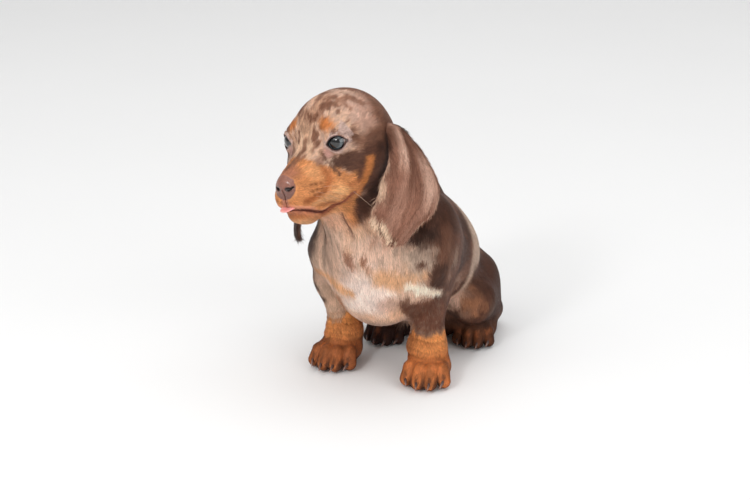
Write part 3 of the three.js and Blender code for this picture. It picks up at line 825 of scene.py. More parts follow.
# Brown on the bridge of the muzzle
BRIDGE = [
    (rgb(160, 104, 82), 0.8, (spot, (0, -54, -5), (8, 8, 5.5), 0.5, 0.5, 41)),
    (BROWN * 0.95, 0.85, (band, (1.6, -34.5, 6), (-1.6, -49.5, -2.6), 1.8, 0.5, 0.5, 35)),
    (BROWN, 0.7, (band, (4.6, -38, 2.5), (1.6, -47, -0.8), 1.1, 0.5, 0.5, 33)),
]


def cheek_marks(c, q, f, tan, streaks, s):
    """One side's patches, from the cheek's tan spot to the brow's, with a painted highlight along the upper
    lip.
    """
    c = laid(c, q, [
        (DARK * 1.1, 0.85, (spot, (29.4 * s, -19.4, -14), (3, 2.6, 6), 0.5, 0.4, 13 + s)),
        (
            rgb(180, 112, 62), 0.95,
            (band, (32.2 * s, -10.6, -8.5), (28.2 * s, -15.4, -21), 3.4, 0.5, 0.35, 34 + s),
        ),
    ])
    # A painted highlight along the upper lip, on the tan only
    lit = [
        (rgb(228, 172, 122), 0.6, (band, (20 * s, -33, -27), (14.5 * s, -47, -25.5), 3, 0.6, 0.4, 18 + s))
    ]
    c = laid(c, q, lit, tan)
    c = laid(
        c, q, [(rgb(150, 112, 94), 0.8, (spot, (12.5 * s, -34.5, -2.2), (4, 3.4, 2.6), 0.5, 0.7, 38 + s))]
    )
    pale = spot(q, (17 * s, -30.6, -3.4), (2.6, 3, 4.2), 0.5, 0.7, seed=91 + s)
    c = over(c, rgb(198, 172, 150), 0.85 * pale * smooth(streaks, 0.38, 0.56))
    upper = (band, (11.4 * s, -31.2, 4), (16 * s, -31.8, -4), 1.0, 0.5, 0.5, 97)
    lower = (band, (16 * s, -31.8, -4), (22.4 * s, -30, -12), 1.0, 0.5, 0.5, 98)
    brow = (spot, (14.8 * s, -24.4, 17.8), (4.5, 4.6, 3.7), 0.45, 0.6, 36 + s, 1.8, f)
    return laid(c, q, [
        (rgb(198, 150, 138), 0.85, (spot, (15.6 * s, -29.3, 1.4), (2.7, 3, 3.6), 0.5, 0.4, 94 + s)),
        (BROWN * 0.75, 0.85, upper, lower),
        (rgb(196, 118, 64), 0.95, brow),
    ])


def muzzle_marks(c, q, f, streaks, uneven):
    """Tan and sand on the muzzle and cheeks, with painted highlights on the tan; also returns where the tan
    lies.
    """
    x, y, z = q.T
    ax = np.abs(x)
    edge = z + 0.95 * np.minimum(y + 26, 0) + 2.6 * (noise(f, 3, 45) - 0.5) + 1.8 * (streaks - 0.5)
    rear = y + 0.12 * (z + 20) + 3 * (noise(q, 5, 46) - 0.5)
    snout = smooth(y + 0.8 * z + 3 * (noise(f, 3, 47) - 0.5), -39, -44) * smooth(edge, -6, -10)
    tan = np.maximum(smooth(edge, -10.6, -14) * smooth(rear, -14.5, -19), snout)
    cheek = 0.95 * smooth(ax, 20, 25) * smooth(y, -22, -17) * smooth(z, -5, -9) * smooth(z, -38, -32)
    c = over(c, DARK, cheek)
    c = over(c, TAN, 0.97 * tan)
    # Painted highlights on the tan
    c = laid(c, q, TAN_HIGHLIGHTS, tan)
    c = over(c, RUST * 1.08, 0.5 * tan * smooth(fbm(f, 5, 48, 2), 0.5, 0.64) * smooth(y, -46, -30))
    c = over(c, RUST, 0.75 * tan * smooth(rear, -21, -15.5))
    jaw = 0.92 * smooth(ax, 8, 13) * smooth(y + 0.25 * (z + 40) + uneven * 0.6, -18.5, -14)
    c = over(c, DEEP * 1.2, jaw * smooth(z + uneven * 0.5, -29, -33) * smooth(z, -55, -48))
    for s in (1, -1):
        c = cheek_marks(c, q, f, tan, streaks, s)
    c = laid(c, q, BRIDGE)
    c = over(c, SAND * 0.97, 0.8 * smooth(y, -18, -34) * smooth(z, -31, -35) * smooth(ax, 18, 10))
    chin = 0.8 * smooth(z, -36, -41) * smooth(y, -36, -26) * smooth(ax, 13, 7)
    return over(c, PINK * (0.98, 0.92, 0.88), chin), tan


def mouth_marks(c, q, tan):
    """The lips, painted shade in the pads' creases, rows of dots, and the line below the nose."""
    x, y, z = q.T
    ax, lip = np.abs(x), lip_height(q[:, 1])
    lips = np.abs(z - lip) * smooth(y, -17, -21) + 9 * smooth(y, -21, -17)
    c = over(c, rgb(202, 136, 112), 0.7 * smooth(lips, 4.2, 2.0) * smooth(y, -40, -48))
    c = over(c, RUST * 1.12, 0.5 * smooth(lip - z, 0.5, 2) * smooth(lip - z, 8, 4) * smooth(y, -20, -28))
    below = 0.8 * smooth(lip - z, -0.6, 0.4) * smooth(lip - z, 4.2, 1.4)
    c = over(c, rgb(136, 74, 46), below * smooth(y, -44, -36) * smooth(y, -22, -25))
    c = over(c, rgb(132, 74, 60), 0.85 * smooth(lips, 1.7, 0.6) * smooth(ax, 33, 25))
    # Painted shade in the creases behind and below the whisker pads
    c = over(c, rgb(150, 80, 42), 0.85 * np.minimum(pad_creases(q), 1) * tan)
    dots = np.zeros(len(q))
    for row, down in ((0, -14.2), (1.2, -17.4), (0.2, -20.4)):
        for k in range(3):
            dots += groove(np.hypot(y + 40.5 + 3.3 * k + row, z - down - 0.35 * k), 0.85)
    c = over(c, RUST * 0.8, 0.85 * np.minimum(dots, 1) * smooth(ax, 9, 12))
    middle = 0.7 * smooth(ax, 4.2, 1.6) * smooth(z, -27, -25) * smooth(z, -14, -18) * smooth(y, -46, -50)
    return over(c, rgb(160, 106, 92), middle)


def eye_rims(c, q):
    """Pale skin round the lids and their dark edge."""
    for s in (1, -1):
        e = eye_local(q, s)
        near = (np.einsum("ij,ij->i", e, e) < 260) & (e[:, 1] > 0)
        if near.any():
            g = opening(e[near])
            wide = 3.2 - 1.0 * (e[near, 0] > 2) - 1.1 * smooth(e[near, 2], 0, 3)
            pale = 0.85 * smooth(g + 1.2 * (noise(q[near], 2.5, 49) - 0.5), wide, 1.3)
            k = over(c[near], rgb(192, 164, 154), pale)
            k = over(k, rgb(104, 78, 73), smooth(g, 1.2, 0.75))
            k = over(k, rgb(52, 37, 35), smooth(g, 0.6, 0.2))
            c[near] = k
    return c


def head_marks(q):
    f = combed(q)
    streaks = noise(f, 1.7, 41) * 0.6 + noise(f, 0.8, 42) * 0.4
    uneven = 5 * (noise(f, 4, 39) - 0.5)
    c = np.tile(PALE, (len(q), 1))
    c = forehead_marks(c, q, f, streaks)
    c = mask_marks(c, q, uneven)
    c, tan = muzzle_marks(c, q, f, streaks, uneven)
    c = mouth_marks(c, q, tan)
    c = eye_rims(c, q)
    return c * (streaks * 0.26 + 0.87)[:, None]


# Pale patches on the left shoulder and flank
FLANK_PATCHES = [
    (PALE, 0.9, (spot, (48, 24, 54), (10, 20, 12), 0.5, 0.5, 61)),
    # Partly the pale coat, partly painted light: brightened to lift the shade under the flank
    (PALE * 1.1, 0.95, (spot, (38, 46, 40), (13, 20, 11), 0.4, 0.5, 62)),
    (GREIGE, 0.75, (spot, (51.4, 9.5, 90), (5, 4, 7.5), 0.6, 0.6, 63)),
    (GREIGE * 0.98, 0.55, (band, (50, 1, 104), (49, 6, 68), 1.9, 0.6, 0.5, 60)),
]

# Cream, and short brown marks, on the chest
CHEST_PATCHES = [
    (CREAM, 0.92, (spot, (1, -32, 66), (23, 16, 14), 0.4, 0.4, 64)),
    (CREAM * 0.96, 0.65, (spot, (2, -36, 82), (13, 12, 12), 0.6, 0.5, 65)),
    (rgb(104, 84, 76), 0.95, (spot, (-48, -7, 97), (9, 12, 15), 0.35, 0.4, 66)),
    (BROWN * 1.08, 0.85, (spot, (-6.5, -38.5, 95), (3, 6, 7), 0.6, 0.8, 67, 1.8)),
    (BROWN * 1.08, 0.6, (spot, (-2.8, -38.5, 93.5), (2.2, 6, 6), 0.6, 0.8, 68, 1.8)),
    (BROWN * 1.08, 0.85, (spot, (5.6, -36.6, 93), (2, 5, 5.4), 0.6, 0.8, 69, 1.8)),
    (BROWN * 1.08, 0.4, (spot, (8.5, -36, 88), (2, 5, 3.4), 0.6, 0.8, 70, 1.8)),
    (
        SAND * (1.03, 1.0, 0.95), 0.85,
        (band, (-43, -10, 74), (-26, -23.4, 73.5), 3.2, 0.6, 0.5, 70),
        (band, (-26, -23.4, 73.5), (-9, -31, 69), 3.4, 0.6, 0.5, 90),
    ),
    (
        SAND, 0.8,
        (band, (13, -31, 84), (27, -23.5, 79.5), 5.6, 0.8, 0.5, 71),
        (band, (27, -23.5, 80), (37, -18.5, 84.5), 4.2, 0.7, 0.6, 92),
    ),
]

# Dark and pale patches from the left side of the throat to the elbow
SHOULDER_PATCHES = [
    (ROSE * 1.02, 0.7, (spot, (18, -24.5, 63), (7, 8, 6), 0.6, 0.5, 72)),
    (DARK * 1.15, 0.9, (spot, (27.2, -18, 63.5), (3, 5, 4.4), 0.5, 0.6, 73)),
    (DARK, 0.95, (spot, (39, -8, 120), (9, 11, 11), 0.35, 0.5, 20)),
    (rgb(180, 156, 138), 0.85, (spot, (37, -16.5, 93), (11, 11, 8.5), 0.7, 0.9, 74)),
    (DARK * 1.1, 0.85, (spot, (37.6, -17.5, 91.3), (3, 5, 2.2), 0.5, 0.7, 75, 1.6)),
    (DEEP, 0.92, (spot, (33.5, -13, 110), (11, 11, 6.5), 0.5, 0.6, 76)),
    (BROWN * 0.9, 0.85, (spot, (49.5, -2, 98), (5, 8, 24), 0.45, 0.4, 77)),
    (DARK * 0.97, 0.95, (spot, (46.5, -8, 80), (6.5, 9.5, 11.5), 0.3, 0.5, 78)),
    (rgb(250, 230, 208), 0.95, (band, (30, -19.5, 76), (39.5, -9, 70), 3.9, 0.35, 0.7, 79)),
    (rgb(250, 230, 208), 0.95, (band, (39.5, -9, 70), (45.5, 2, 64), 3.6, 0.35, 0.8, 80)),
]

ELBOW_PATCHES = [
    (
        DEEP * 1.1, 0.9, (spot, (-52, 0, 57), (6, 8, 4), 0.4, 0.6, 81),
        (spot, (-50, 2, 47), (5, 7, 4), 0.4, 0.6, 82),
    ),
]
THIGH_PATCHES = [
    (
        rgb(172, 116, 82), 0.85,
        (spot, (46.5, 56, 40), (8, 8, 11), 0.7, 0.8, 83),
        (spot, (-46, 48, 39), (8, 8, 11), 0.7, 0.8, 84),
    ),
    (GREIGE * 0.8, 0.5, (spot, (57, 72, 34), (6, 9, 10), 0.6, 0.5, 85)),
]

# Each foreleg: height of the tan's upper edge, where it starts to rise, and how steeply
TAN_EDGE = {"left": (34.0, 8.0, 1.3), "right": (31.5, 1.0, 1.5)}


def foreleg_marks(c, p, streaks):
    """Tan below an uneven edge, the dark or pale leg above it, and painted shade in the creases."""
    x, y, z = p.T
    for which, leg in FORELEGS.items():
        top, start, rise = TAN_EDGE[which]
        side, px = leg["side"], leg["paw"][0]
        inner = (px - x) * side
        reach = 11 if side > 0 else 16
        near = (
            smooth(-inner, 25, 20) * smooth(inner - 0.5 * np.maximum(36 - z, 0), reach + 1.5, reach - 1.5)
        )
        near = near * smooth(y, 38, 32) * smooth(z, 66, 60)
        upper = DARK * 1.3 if side > 0 else rgb(206, 172, 147)
        c = over(c, upper, near * 0.95 * smooth(z - 0.35 * np.maximum(inner, 0), 66, 60))
        flecks = smooth(noise(p * (0.25, 0.6, 1), 1.3, 99), 0.55, 0.75)
        c = over(c, GREIGE * 0.8, near * 0.35 * flecks * (side > 0))
        uneven = 4.5 * (noise(p * (1, 1, 0.5), 3.6, 58) - 0.5)
        line = top + rise * np.clip(inner - start, 0, 12) + uneven + 4 * (streaks - 0.5)
        if side < 0:
            c = over(c, TAN * (0.86, 0.78, 0.74), near * 0.7 * smooth(inner + 0.25 * (z - 40), 2, 10))
        c = over(c, (GREIGE if side > 0 else SAND) * 0.82, near * 0.5 * smooth(z - line, 5, 1))
        c = over(c, TAN * (1.2, 1.2, 1.1), near * 0.96 * smooth(z - line, 1.6, -1.6))
        c = over(c, RUST * 1.05, near * 0.4 * smooth(z - line, 1.6, -1.6) * smooth(inner, 5, 11))
        # Painted shade in the wrists' creases
        crease = np.minimum(1.1 * wrist_creases(p, leg), 1)
        c = over(c, rgb(140, 80, 46), 0.75 * crease * smooth(z, 48, 42))
    return laid(c, p, ELBOW_PATCHES)


def hind_leg_marks(c, p):
    x, y, z = p.T
    high = smooth(z, 72, 62)
    left = smooth(x, 33, 39) * smooth(y, 50, 62) * high
    right = smooth(x, -30, -36) * smooth(y, 42, 54) * high
    c = over(c, DARK * (0.98, 0.92, 0.88), 0.9 * np.maximum(left, right) * smooth(z, 16, 22))
    return laid(c, p, THIGH_PATCHES)


# Each foot's tone: its own tan or rust, darkened as painted shade low down, most on the right forefoot, and
# near black on the right hind foot, which lies in the shadow under the belly
FOOT_TONES_AND_SHADE = {
    "foreleg_left": TAN * (0.97, 0.86, 0.78),
    "foreleg_right": TAN * (0.80, 0.70, 0.66),
    "hindleg_left": RUST * 0.72,
    "hindleg_right": DEEP * (0.8, 0.62, 0.6),
}


def foot_marks(c, p):
    """Each foot's tone with painted shade in it, paler toe tops on the hind feet, and painted shade in the
    furrows between the toes.
    """
    for name in FEET:
        fore, left = name.startswith("fore"), name.endswith("left")
        tone = FOOT_TONES_AND_SHADE[name]
        d = near_foot(p, name, 19 if fore else 17)
        paw, heading, size = FEET[name]
        q = in_paw(p, paw, heading) / size
        k = smooth(d + 2 * (noise(p, 5, 59) - 0.5), *((5, -4) if fore else (2, -2)))
        shade = tone * (1 - 0.14 * smooth(noise(p, 6, 60), 0.5, 0.7))[:, None]
        c = c + (shade - c) * (k * 0.93)[:, None]
        for i, (t, r) in enumerate(zip(TOE_SIDE, TOE_REACH)):
            on = smooth(d, 1, -2)
            if not fore:
                top = spot(q, (t * 0.9, r + 4, 12), (2.2, 5, 4), 0.6, 0.7, seed=40 + i)
                c = over(c, RUST * 1.15, (0.8 if left else 0.6 * (i == 1)) * top * on)
            # Painted shade in the furrows between the toes
            gap = np.abs(q[:, 0] - (t + TOE_SIDE[min(i + 1, 3)]) / 2)
            furrow_shade = smooth(gap, 1.6, 0.5) * smooth(q[:, 1], -10, -14) * smooth(q[:, 2], 11, 7) * (i < 3)
            c = over(c, (DEEP if fore else DEEP * 0.8), 0.6 * on * furrow_shade)
            strip = spot(q, (t * 1.02, r - 3.2, 9.6), (1.3, 3.0, 2.8), 0.6, 0.8, seed=int(86 + t), size=1.2)
            c = over(c, RUST * 0.62, 0.7 * strip * on)
    return c


def chest_marks(c, p, streaks):
    """The pale front, pinkest along the middle, with brown strands at the throat."""
    x, y, z = p.T
    front = smooth(y - 0.10 * np.abs(x) + 4 * (noise(p, 10, 56) - 0.5), 2, -9) * smooth(z, 40, 50)
    c = over(c, rgb(214, 178, 154), front * smooth(x, 46, 34))
    c = over(c, PINK, front * 0.75 * smooth(np.abs(x - 3), 24, 9) * smooth(z, 118, 90))
    upper = front * 0.6 * smooth(np.abs(x - 3), 20, 8) * smooth(z, 90, 118)
    c = over(c, PINK * 0.95, upper * smooth(streaks, 0.35, 0.6))
    c = over(c, SAND, front * 0.35 * smooth(fbm(p, 14, 57, 2), 0.5, 0.65) * smooth(np.abs(x - 12), 24, 14))
    strands = smooth(fbm(p * (1, 0.6, 0.25), 5, 50, 2), 0.5, 0.62)
    strands = front * 0.55 * smooth(z, 100, 110) * strands * smooth(np.abs(x - 2), 22, 12)
    c = over(c, BROWN * (1.15, 1.12, 1.12), strands)
    tufted = smooth(fbm(p * (1, 0.6, 0.28), 3.4, 31, 2) + 0.1 * (streaks - 0.5), 0.5, 0.6)
    c = over(c, GREIGE * 0.86, front * 0.55 * tufted * smooth(z, 72, 86) * smooth(np.abs(x - 2), 6, 16))
    return laid(c, p, CHEST_PATCHES)


def body_marks(p):
    x, y, z = p.T
    streaks = noise(p * (1, 0.6, 0.3), 1.9, 51) * 0.6 + noise(p * (1, 0.6, 0.4), 0.9, 52) * 0.4
    c = np.tile(DARK, (len(p), 1))
    c = over(c, BROWN, 0.6 * smooth(fbm(p * (1, 0.8, 0.6), 9, 53, 3), 0.45, 0.65))
    back = smooth(fbm(p * (1, 0.8, 1), 30, 54, 3) + 0.12 * (streaks - 0.5), 0.53, 0.60) * smooth(y, 20, 45)
    c = over(c, GREIGE, 0.8 * back * smooth(x, 30, 10))
    line = 60 + 0.12 * (z - 75) + 4 * (noise(p, 16, 55) - 0.5) + 3 * (streaks - 0.5)
    stripe = 0.95 * smooth(np.abs(y - line), 15, 8) * smooth(x, 16, 30) * smooth(z, 36, 46)
    c = over(c, rgb(194, 168, 148), stripe)
    c = laid(c, p, FLANK_PATCHES)
    c = chest_marks(c, p, streaks)
    c = laid(c, p, SHOULDER_PATCHES)
    belly = smooth(z, 50, 42) * smooth(np.abs(x), 28, 18) * smooth(y, 70, 50)
    c = over(c, PINK * 0.86, 0.8 * belly)
    c = foreleg_marks(c, p, streaks)
    c = hind_leg_marks(c, p)
    c = foot_marks(c, p)
    return c * (streaks * 0.26 + 0.87)[:, None]


def marks(p):
    """Colour of the coat at points of the design frame, as sRGB values."""
    q = to_head(p)
    w = smooth(beyond_neck(p) + 3 * (noise(p, 9, 61) - 0.5), -6, 3)
    out = np.zeros((len(p), 3))
    head, body = w > 0, w < 1
    if body.any():
        out[body] += body_marks(p[body]) * (1 - w[body])[:, None]
    if head.any():
        out[head] += head_marks(q[head]) * w[head][:, None]
    # Painted shade in the throat's creases
    out = over(out, rgb(96, 62, 52), 0.7 * np.minimum(throat_creases(p), 1))
    return np.clip(out, 0, 1)


def linear(c):
    return np.where(c <= 0.04045, c / 12.92, ((np.maximum(c, 0) + 0.055) / 1.055) ** 2.4)


# The way the hair lies


def lie(p):
    """Away from the nose on the head, back and down on the body, to the toes on the feet."""
    q = to_head(p)
    w = smooth(beyond_neck(p), -8, 6)[:, None]
    away = q - NOSE_TIP
    away = away / np.linalg.norm(away, axis=1, keepdims=True)
    local = away * 0.9 + np.array((0, 0.55, 0)) - np.array((0, 0, 0.35)) * smooth(q[:, 2], 0, -16)[:, None]
    head = local @ HEAD_ROT.T
    t = smooth(p[:, 1], -8, 28)[:, None]
    body = np.array((0, -0.05, -1)) * (1 - t) + np.array((0, 0.8, -0.62)) * t
    low = smooth(p[:, 2], 62, 46)[:, None]
    body = body * (1 - low) + np.array((0, 0.12, -1)) * low
    for name in FEET:
        k = smooth(near_foot(p, name, 20), 4, -3)[:, None]
        toes = -turn_of(yaw=FEET[name][1])[:, 1] + np.array((0, 0, -0.45))
        body = body * (1 - k) + toes * k
    tail = (smooth(p[:, 1], 124, 134) * smooth(p[:, 2], 26, 16))[:, None]
    body = body * (1 - tail) + np.array((-1, 0.0, -0.05)) * tail
    return head * w + body * (1 - w)


def across(v, n):
    """The part of v that lies along the surface, at unit length."""
    return unit(v - n * np.einsum("ij,ij->i", v, n)[:, None])


# Pieces


def to_scene(p):
    return (p - CENTRE) / 1000


def add_piece(name, points, faces, colours, normals, material, replaces=()):
    """A mesh from points and faces (all triangles or all quads) in the design frame."""
    mesh = bpy.data.meshes.new(name)
    mesh.vertices.add(len(points))
    mesh.vertices.foreach_set("co", to_scene(points).astype(np.float32).ravel())
    mesh.loops.add(faces.size)
    mesh.loops.foreach_set("vertex_index", faces.astype(np.int32).ravel())
    mesh.polygons.add(len(faces))
    starts = np.arange(0, faces.size, faces.shape[1], dtype=np.int32)
    mesh.polygons.foreach_set("loop_start", starts)
    mesh.update(calc_edges=True)
    mesh.validate()
    mesh.polygons.foreach_set("use_smooth", np.ones(len(mesh.polygons), bool))
    layer = mesh.color_attributes.new("Marks", "FLOAT_COLOR", "POINT")
    full = np.ones((len(points), 4), np.float32)
    full[:, :3] = linear(colours)
    layer.data.foreach_set("color", full.ravel())
    if normals is not None:
        mesh.normals_split_custom_set_from_vertices(normals.astype(np.float32))
    piece = bpy.data.objects.new(name, mesh)
    bpy.context.scene.collection.objects.link(piece)
    mesh.materials.append(material)
    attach(piece, "root")
    if replaces:
        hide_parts(*replaces)
    return piece


def areas_of(p, tris):
    a, b, c = (p[tris[:, i]] for i in range(3))
    return np.linalg.norm(np.cross(b - a, c - a), axis=1) / 2


def quads_to_tris(quads):
    return np.concatenate([quads[:, [0, 1, 2]], quads[:, [0, 2, 3]]])


def ring_faces(rings, sides, start=0):
    """Quads between rings of points that follow one another."""
    i, j = np.meshgrid(range(rings - 1), range(sides), indexing="ij")
    k = (j + 1) % sides
    corners = [i * sides + j, i * sides + k, (i + 1) * sides + k, (i + 1) * sides + j]
    return np.stack(corners, -1).reshape(-1, 4) + start


def scatter(p, tris, density, rng, *more):
    """Seeded random roots, density of them to a square millimetre, and what more holds there."""
    want = areas_of(p, tris) * density
    total = int(want.sum())
    pick = np.searchsorted(np.cumsum(want) / want.sum(), rng.random(total))
    t = tris[np.minimum(pick, len(tris) - 1)]
    a, b = rng.random(total), rng.random(total)
    out = a + b > 1
    a[out], b[out] = 1 - a[out], 1 - b[out]
    w = np.stack([1 - a - b, a, b], 1)[:, :, None]
    return [(v[t] * w).sum(1) for v in (p, *more)]


def chart(p, n):
    """A place on an unwrap of the piece by its six sides, three across and two up."""
    lo, hi = p.min(0), p.max(0)
    side = np.argmax(np.abs(n), axis=1)
    positive = n[np.arange(len(n)), side] > 0
    q = ((p - lo) / np.maximum(hi - lo, 1e-6)).clip(0, 1)
    u = np.where(side == 0, q[:, 1], q[:, 0])
    v = np.where(side == 2, q[:, 1], q[:, 2])
    return np.stack([(0.02 + 0.96 * u + side) / 3, (0.02 + 0.96 * v + positive) / 2], 1)


def map_tufts(piece, roots, normals):
    """The UV map: every tuft has a small kite of its own at its root's place."""
    kite = np.array(((-1, -1), (1, -1), (-1, 0.2), (1, 0.2), (0, 1))) * 0.0015
    uv = (chart(roots, normals)[:, None, :] + kite).clip(0.0005, 0.9995).reshape(-1, 2)
    layer = piece.data.uv_layers.new(name="OFBake")
    index = np.empty(len(piece.data.loops), np.int32)
    piece.data.loops.foreach_get("vertex_index", index)
    layer.uv.foreach_set("vector", uv[index].astype(np.float32).ravel())


# How deep a tuft is rooted, how far its normals lean, its shade at the root and the tip,
# and how near the floor it may come, in millimetres.
ROOTED, LEAN, ROOT_SHADE, TIP_SHADE, OFF_FLOOR = 0.06, 0.26, 0.86, 1.1, 0.25


def tufts(name, roots, normals, along, length, width, lift, colours, rng, follow=None, vary=0.16):
    """Thin blades of hair: each follows the surface from its root and ends in a point."""
    n = len(roots)
    turn = rng.normal(0, 0.16, n)
    side = np.cross(normals, along)
    along = along * np.cos(turn)[:, None] + side * np.sin(turn)[:, None]
    side = np.cross(normals, along)
    length = length * rng.uniform(0.7, 1.2, n)
    width = width * rng.uniform(0.75, 1.25, n)
    lift = lift * rng.uniform(0.45, 1.35, n)
    rng.normal(0, 1, n)  # not used, but the draws after it depend on it
    base = roots - normals * ROOTED
    middle = roots + along * (length * 0.5)[:, None]
    tip = roots + along * length[:, None]
    if follow is None:
        middle, tip = middle + normals * (lift * 0.75)[:, None], tip + normals * lift[:, None]
    else:
        middle = middle - normals * (chunked(follow, middle) - lift * 0.75)[:, None].clip(-3, 3)
        tip = tip - normals * (chunked(follow, tip) - lift)[:, None].clip(-4, 4)
    w = side * (width / 2)[:, None]
    points = np.stack([base - w * 0.8, base + w * 0.8, middle - w, middle + w, tip], 1).reshape(-1, 3)
    points[:, 2] = np.maximum(points[:, 2], OFF_FLOOR)
    lean = side * LEAN
    bent = [normals - lean, normals + lean, normals - lean, normals + lean, normals + along * 0.15]
    first = np.arange(n)[:, None] * 5
    faces = np.concatenate([first + (0, 3, 1), first + (0, 2, 3), first + (2, 4, 3)], 1).reshape(-1, 3)
    tone = (1 + rng.normal(0, vary * 0.5, n)).clip(1 - vary, 1 + vary)
    shades = [colours * (tone * k)[:, None] for k in (ROOT_SHADE, ROOT_SHADE, 1.0, 1.0, TIP_SHADE)]
    colours = np.stack(shades, 1).reshape(-1, 3).clip(0, 1)
    piece = add_piece(name, points, faces, colours, unit(np.stack(bent, 1).reshape(-1, 3)), HAIR)
    map_tufts(piece, roots, normals)


# Ears: lofted along a curve from the skull, cupped across, thin at the rim

# Each ear: its side, and stations that hold a place, half the width, the turn of the ear's
# breadth in degrees, and how far it is cupped.
EARS = {
    "left": (
        1,
        [
            ((25, 18, 2.5), 5.5, 10, 3), ((33.5, 16.8, 1), 7, 12, 4), ((37.5, 16.5, -6.5), 9.5, 16, 4.5),
            ((39.5, 16, -18), 15, 20, 4), ((41, 13, -30), 21, 24, 3), ((42, 6.5, -44), 23, 26, 2),
            ((42, -1.5, -52), 20, 26, 1.5), ((41.5, -9, -59), 13, 26, 1), ((41, -13, -62.5), 3, 26, 0.3),
        ],
    ),
    "right": (
        -1,
        [
            ((25, 18, 4), 6, 12, 3), ((34, 17, 3), 7.5, 16, 4), ((37.5, 16, -5), 10, 22, 4.5),
            ((40, 14, -17), 15.5, 28, 4), ((42, 9, -30), 20, 34, 3), ((44, 1, -43), 21, 38, 2),
            ((45, -6, -52), 17, 38, 1.5), ((45, -10, -61), 10, 38, 1), ((45, -11, -65), 3, 38, 0.3),
        ],
    ),
}
EAR_THICK = 2.4
EAR_RINGS, EAR_SIDES = 84, 68


def spline_points(at, count):
    """A centripetal spline through the stations: places and directions at even steps."""
    at = np.array(at, float)
    n = len(at)
    out = []
    for t in np.linspace(0, n - 1, count):
        i = min(int(t), n - 2)
        f = t - i
        p1, p2 = at[i], at[i + 1]
        p0 = at[i - 1] if i > 0 else p1 * 2 - p2
        p3 = at[i + 2] if i + 2 < n else p2 * 2 - p1
        d = [max(np.linalg.norm(b - a) ** 0.5, 1e-4) for a, b in ((p0, p1), (p1, p2), (p2, p3))]
        t1 = ((p1 - p0) / d[0] - (p2 - p0) / (d[0] + d[1]) + (p2 - p1) / d[1]) * d[1]
        t2 = ((p2 - p1) / d[1] - (p3 - p1) / (d[1] + d[2]) + (p3 - p2) / d[2]) * d[1]
        c2, c3 = -3 * p1 + 3 * p2 - 2 * t1 - t2, 2 * p1 - 2 * p2 + t1 + t2
        out.append((p1 + t1 * f + c2 * f * f + c3 * f**3, t1 + 2 * c2 * f + 3 * c3 * f * f))
    return np.array([o[0] for o in out]), np.array([o[1] for o in out])


def ear_mesh(which):
    """Points, triangles, normals, ways down the ear, and place: down, across, and which face."""
    side, stations = EARS[which]
    rings, around = EAR_RINGS, EAR_SIDES
    centre, down = spline_points([s[0] for s in stations], rings)
    t = np.linspace(0, len(stations) - 1, rings)
    half, out, cup = (np.interp(t, range(len(stations)), [s[i] for s in stations]) for i in (1, 2, 3))
    half = half * (1 - 0.45 / half.clip(3))
    ahead = (0.07 * smooth(t, 1.9, 3.0) * smooth(t, 6.4, 5.2) - 0.24 * smooth(t, 5.8, 7.0)) * (side > 0)
    behind = (0.44 * smooth(t, 4.2, 5.8) - 0.18 * smooth(t, 6.6, 7.8)) * (side > 0)
    down = down / np.linalg.norm(down, axis=1, keepdims=True)
    o = np.radians(out)
    sweep = np.stack([np.sin(o), np.cos(o), 0 * o], 1)
    face = np.cross(down, sweep)
    face /= np.linalg.norm(face, axis=1, keepdims=True)
    face *= np.where(face[:, :1] < 0, -1, 1)
    sweep = np.cross(face, down)
    sweep /= np.linalg.norm(sweep, axis=1, keepdims=True)
    sweep *= np.where(sweep[:, 1:2] < 0, -1, 1)
    grid, info = [], []
    for j in range(around):
        a = 2 * math.pi * j / around
        u, shell = math.cos(a), math.sin(a)
        thick = EAR_THICK * math.copysign(abs(shell) ** 0.9, shell) * 0.5
        fold = np.exp(-(((u + 0.35) / 0.22) ** 2)) * smooth(t, 0.4, 1.6) * smooth(t, 4.6, 2.6)
        ripple = 0.55 * np.sin(t * 2.1 + u * 3.0) * (1 - u * u) + 0.9 * fold
        wide = half * u * (1 - np.where(u < 0, ahead, behind))
        grid.append(
            centre + sweep * wide[:, None] + face * (cup * (1 - u * u) + thick + ripple * 0.8)[:, None]
        )
        info.append(np.stack([t / (len(stations) - 1), np.full(rings, u), np.full(rings, shell)], 1))
    p = np.stack(grid, 1)
    p[:, :, 0] *= side
    info = np.stack(info, 1)
    lines = np.repeat(down[:, None, :], around, 1)
    lines[:, :, 0] *= side
    quads = ring_faces(rings, around)[:, [0, 3, 2, 1]]
    p = from_head(p.reshape(-1, 3))
    end = p[-around:].mean(0)
    lines = lines.reshape(-1, 3) @ HEAD_ROT.T
    p = np.concatenate([p, end[None]])
    info = np.concatenate([info.reshape(-1, 3), [[1, 0, 0]]])
    lines = np.concatenate([lines, lines[-1:]])
    last, rim = (rings - 1) * around, np.arange(around)
    cap = np.stack([rim + last, np.full(around, len(p) - 1), (rim + 1) % around + last], 1)
    tris = np.concatenate([quads_to_tris(quads), cap])
    a, b, c = (p[tris[:, i]] for i in range(3))
    flat = np.cross(b - a, c - a)
    if ((a - p.mean(0)) * flat).sum() < 0:
        tris = tris[:, ::-1]
    # The ear keeps this clear of the head and neck, moving along the body's own slope
    clear = 0.75
    for _ in range(4):
        d, g, _ = slope(BODY, p)
        push = np.maximum(clear - d, 0) * smooth(info[:, 0], 0.02, 0.12)
        p = p + g * push[:, None]
    flat = np.cross(p[tris[:, 1]] - p[tris[:, 0]], p[tris[:, 2]] - p[tris[:, 0]])
    normals = np.zeros_like(p)
    for i in range(3):
        np.add.at(normals, tris[:, i], flat)
    return p, tris, unit(normals), lines, info


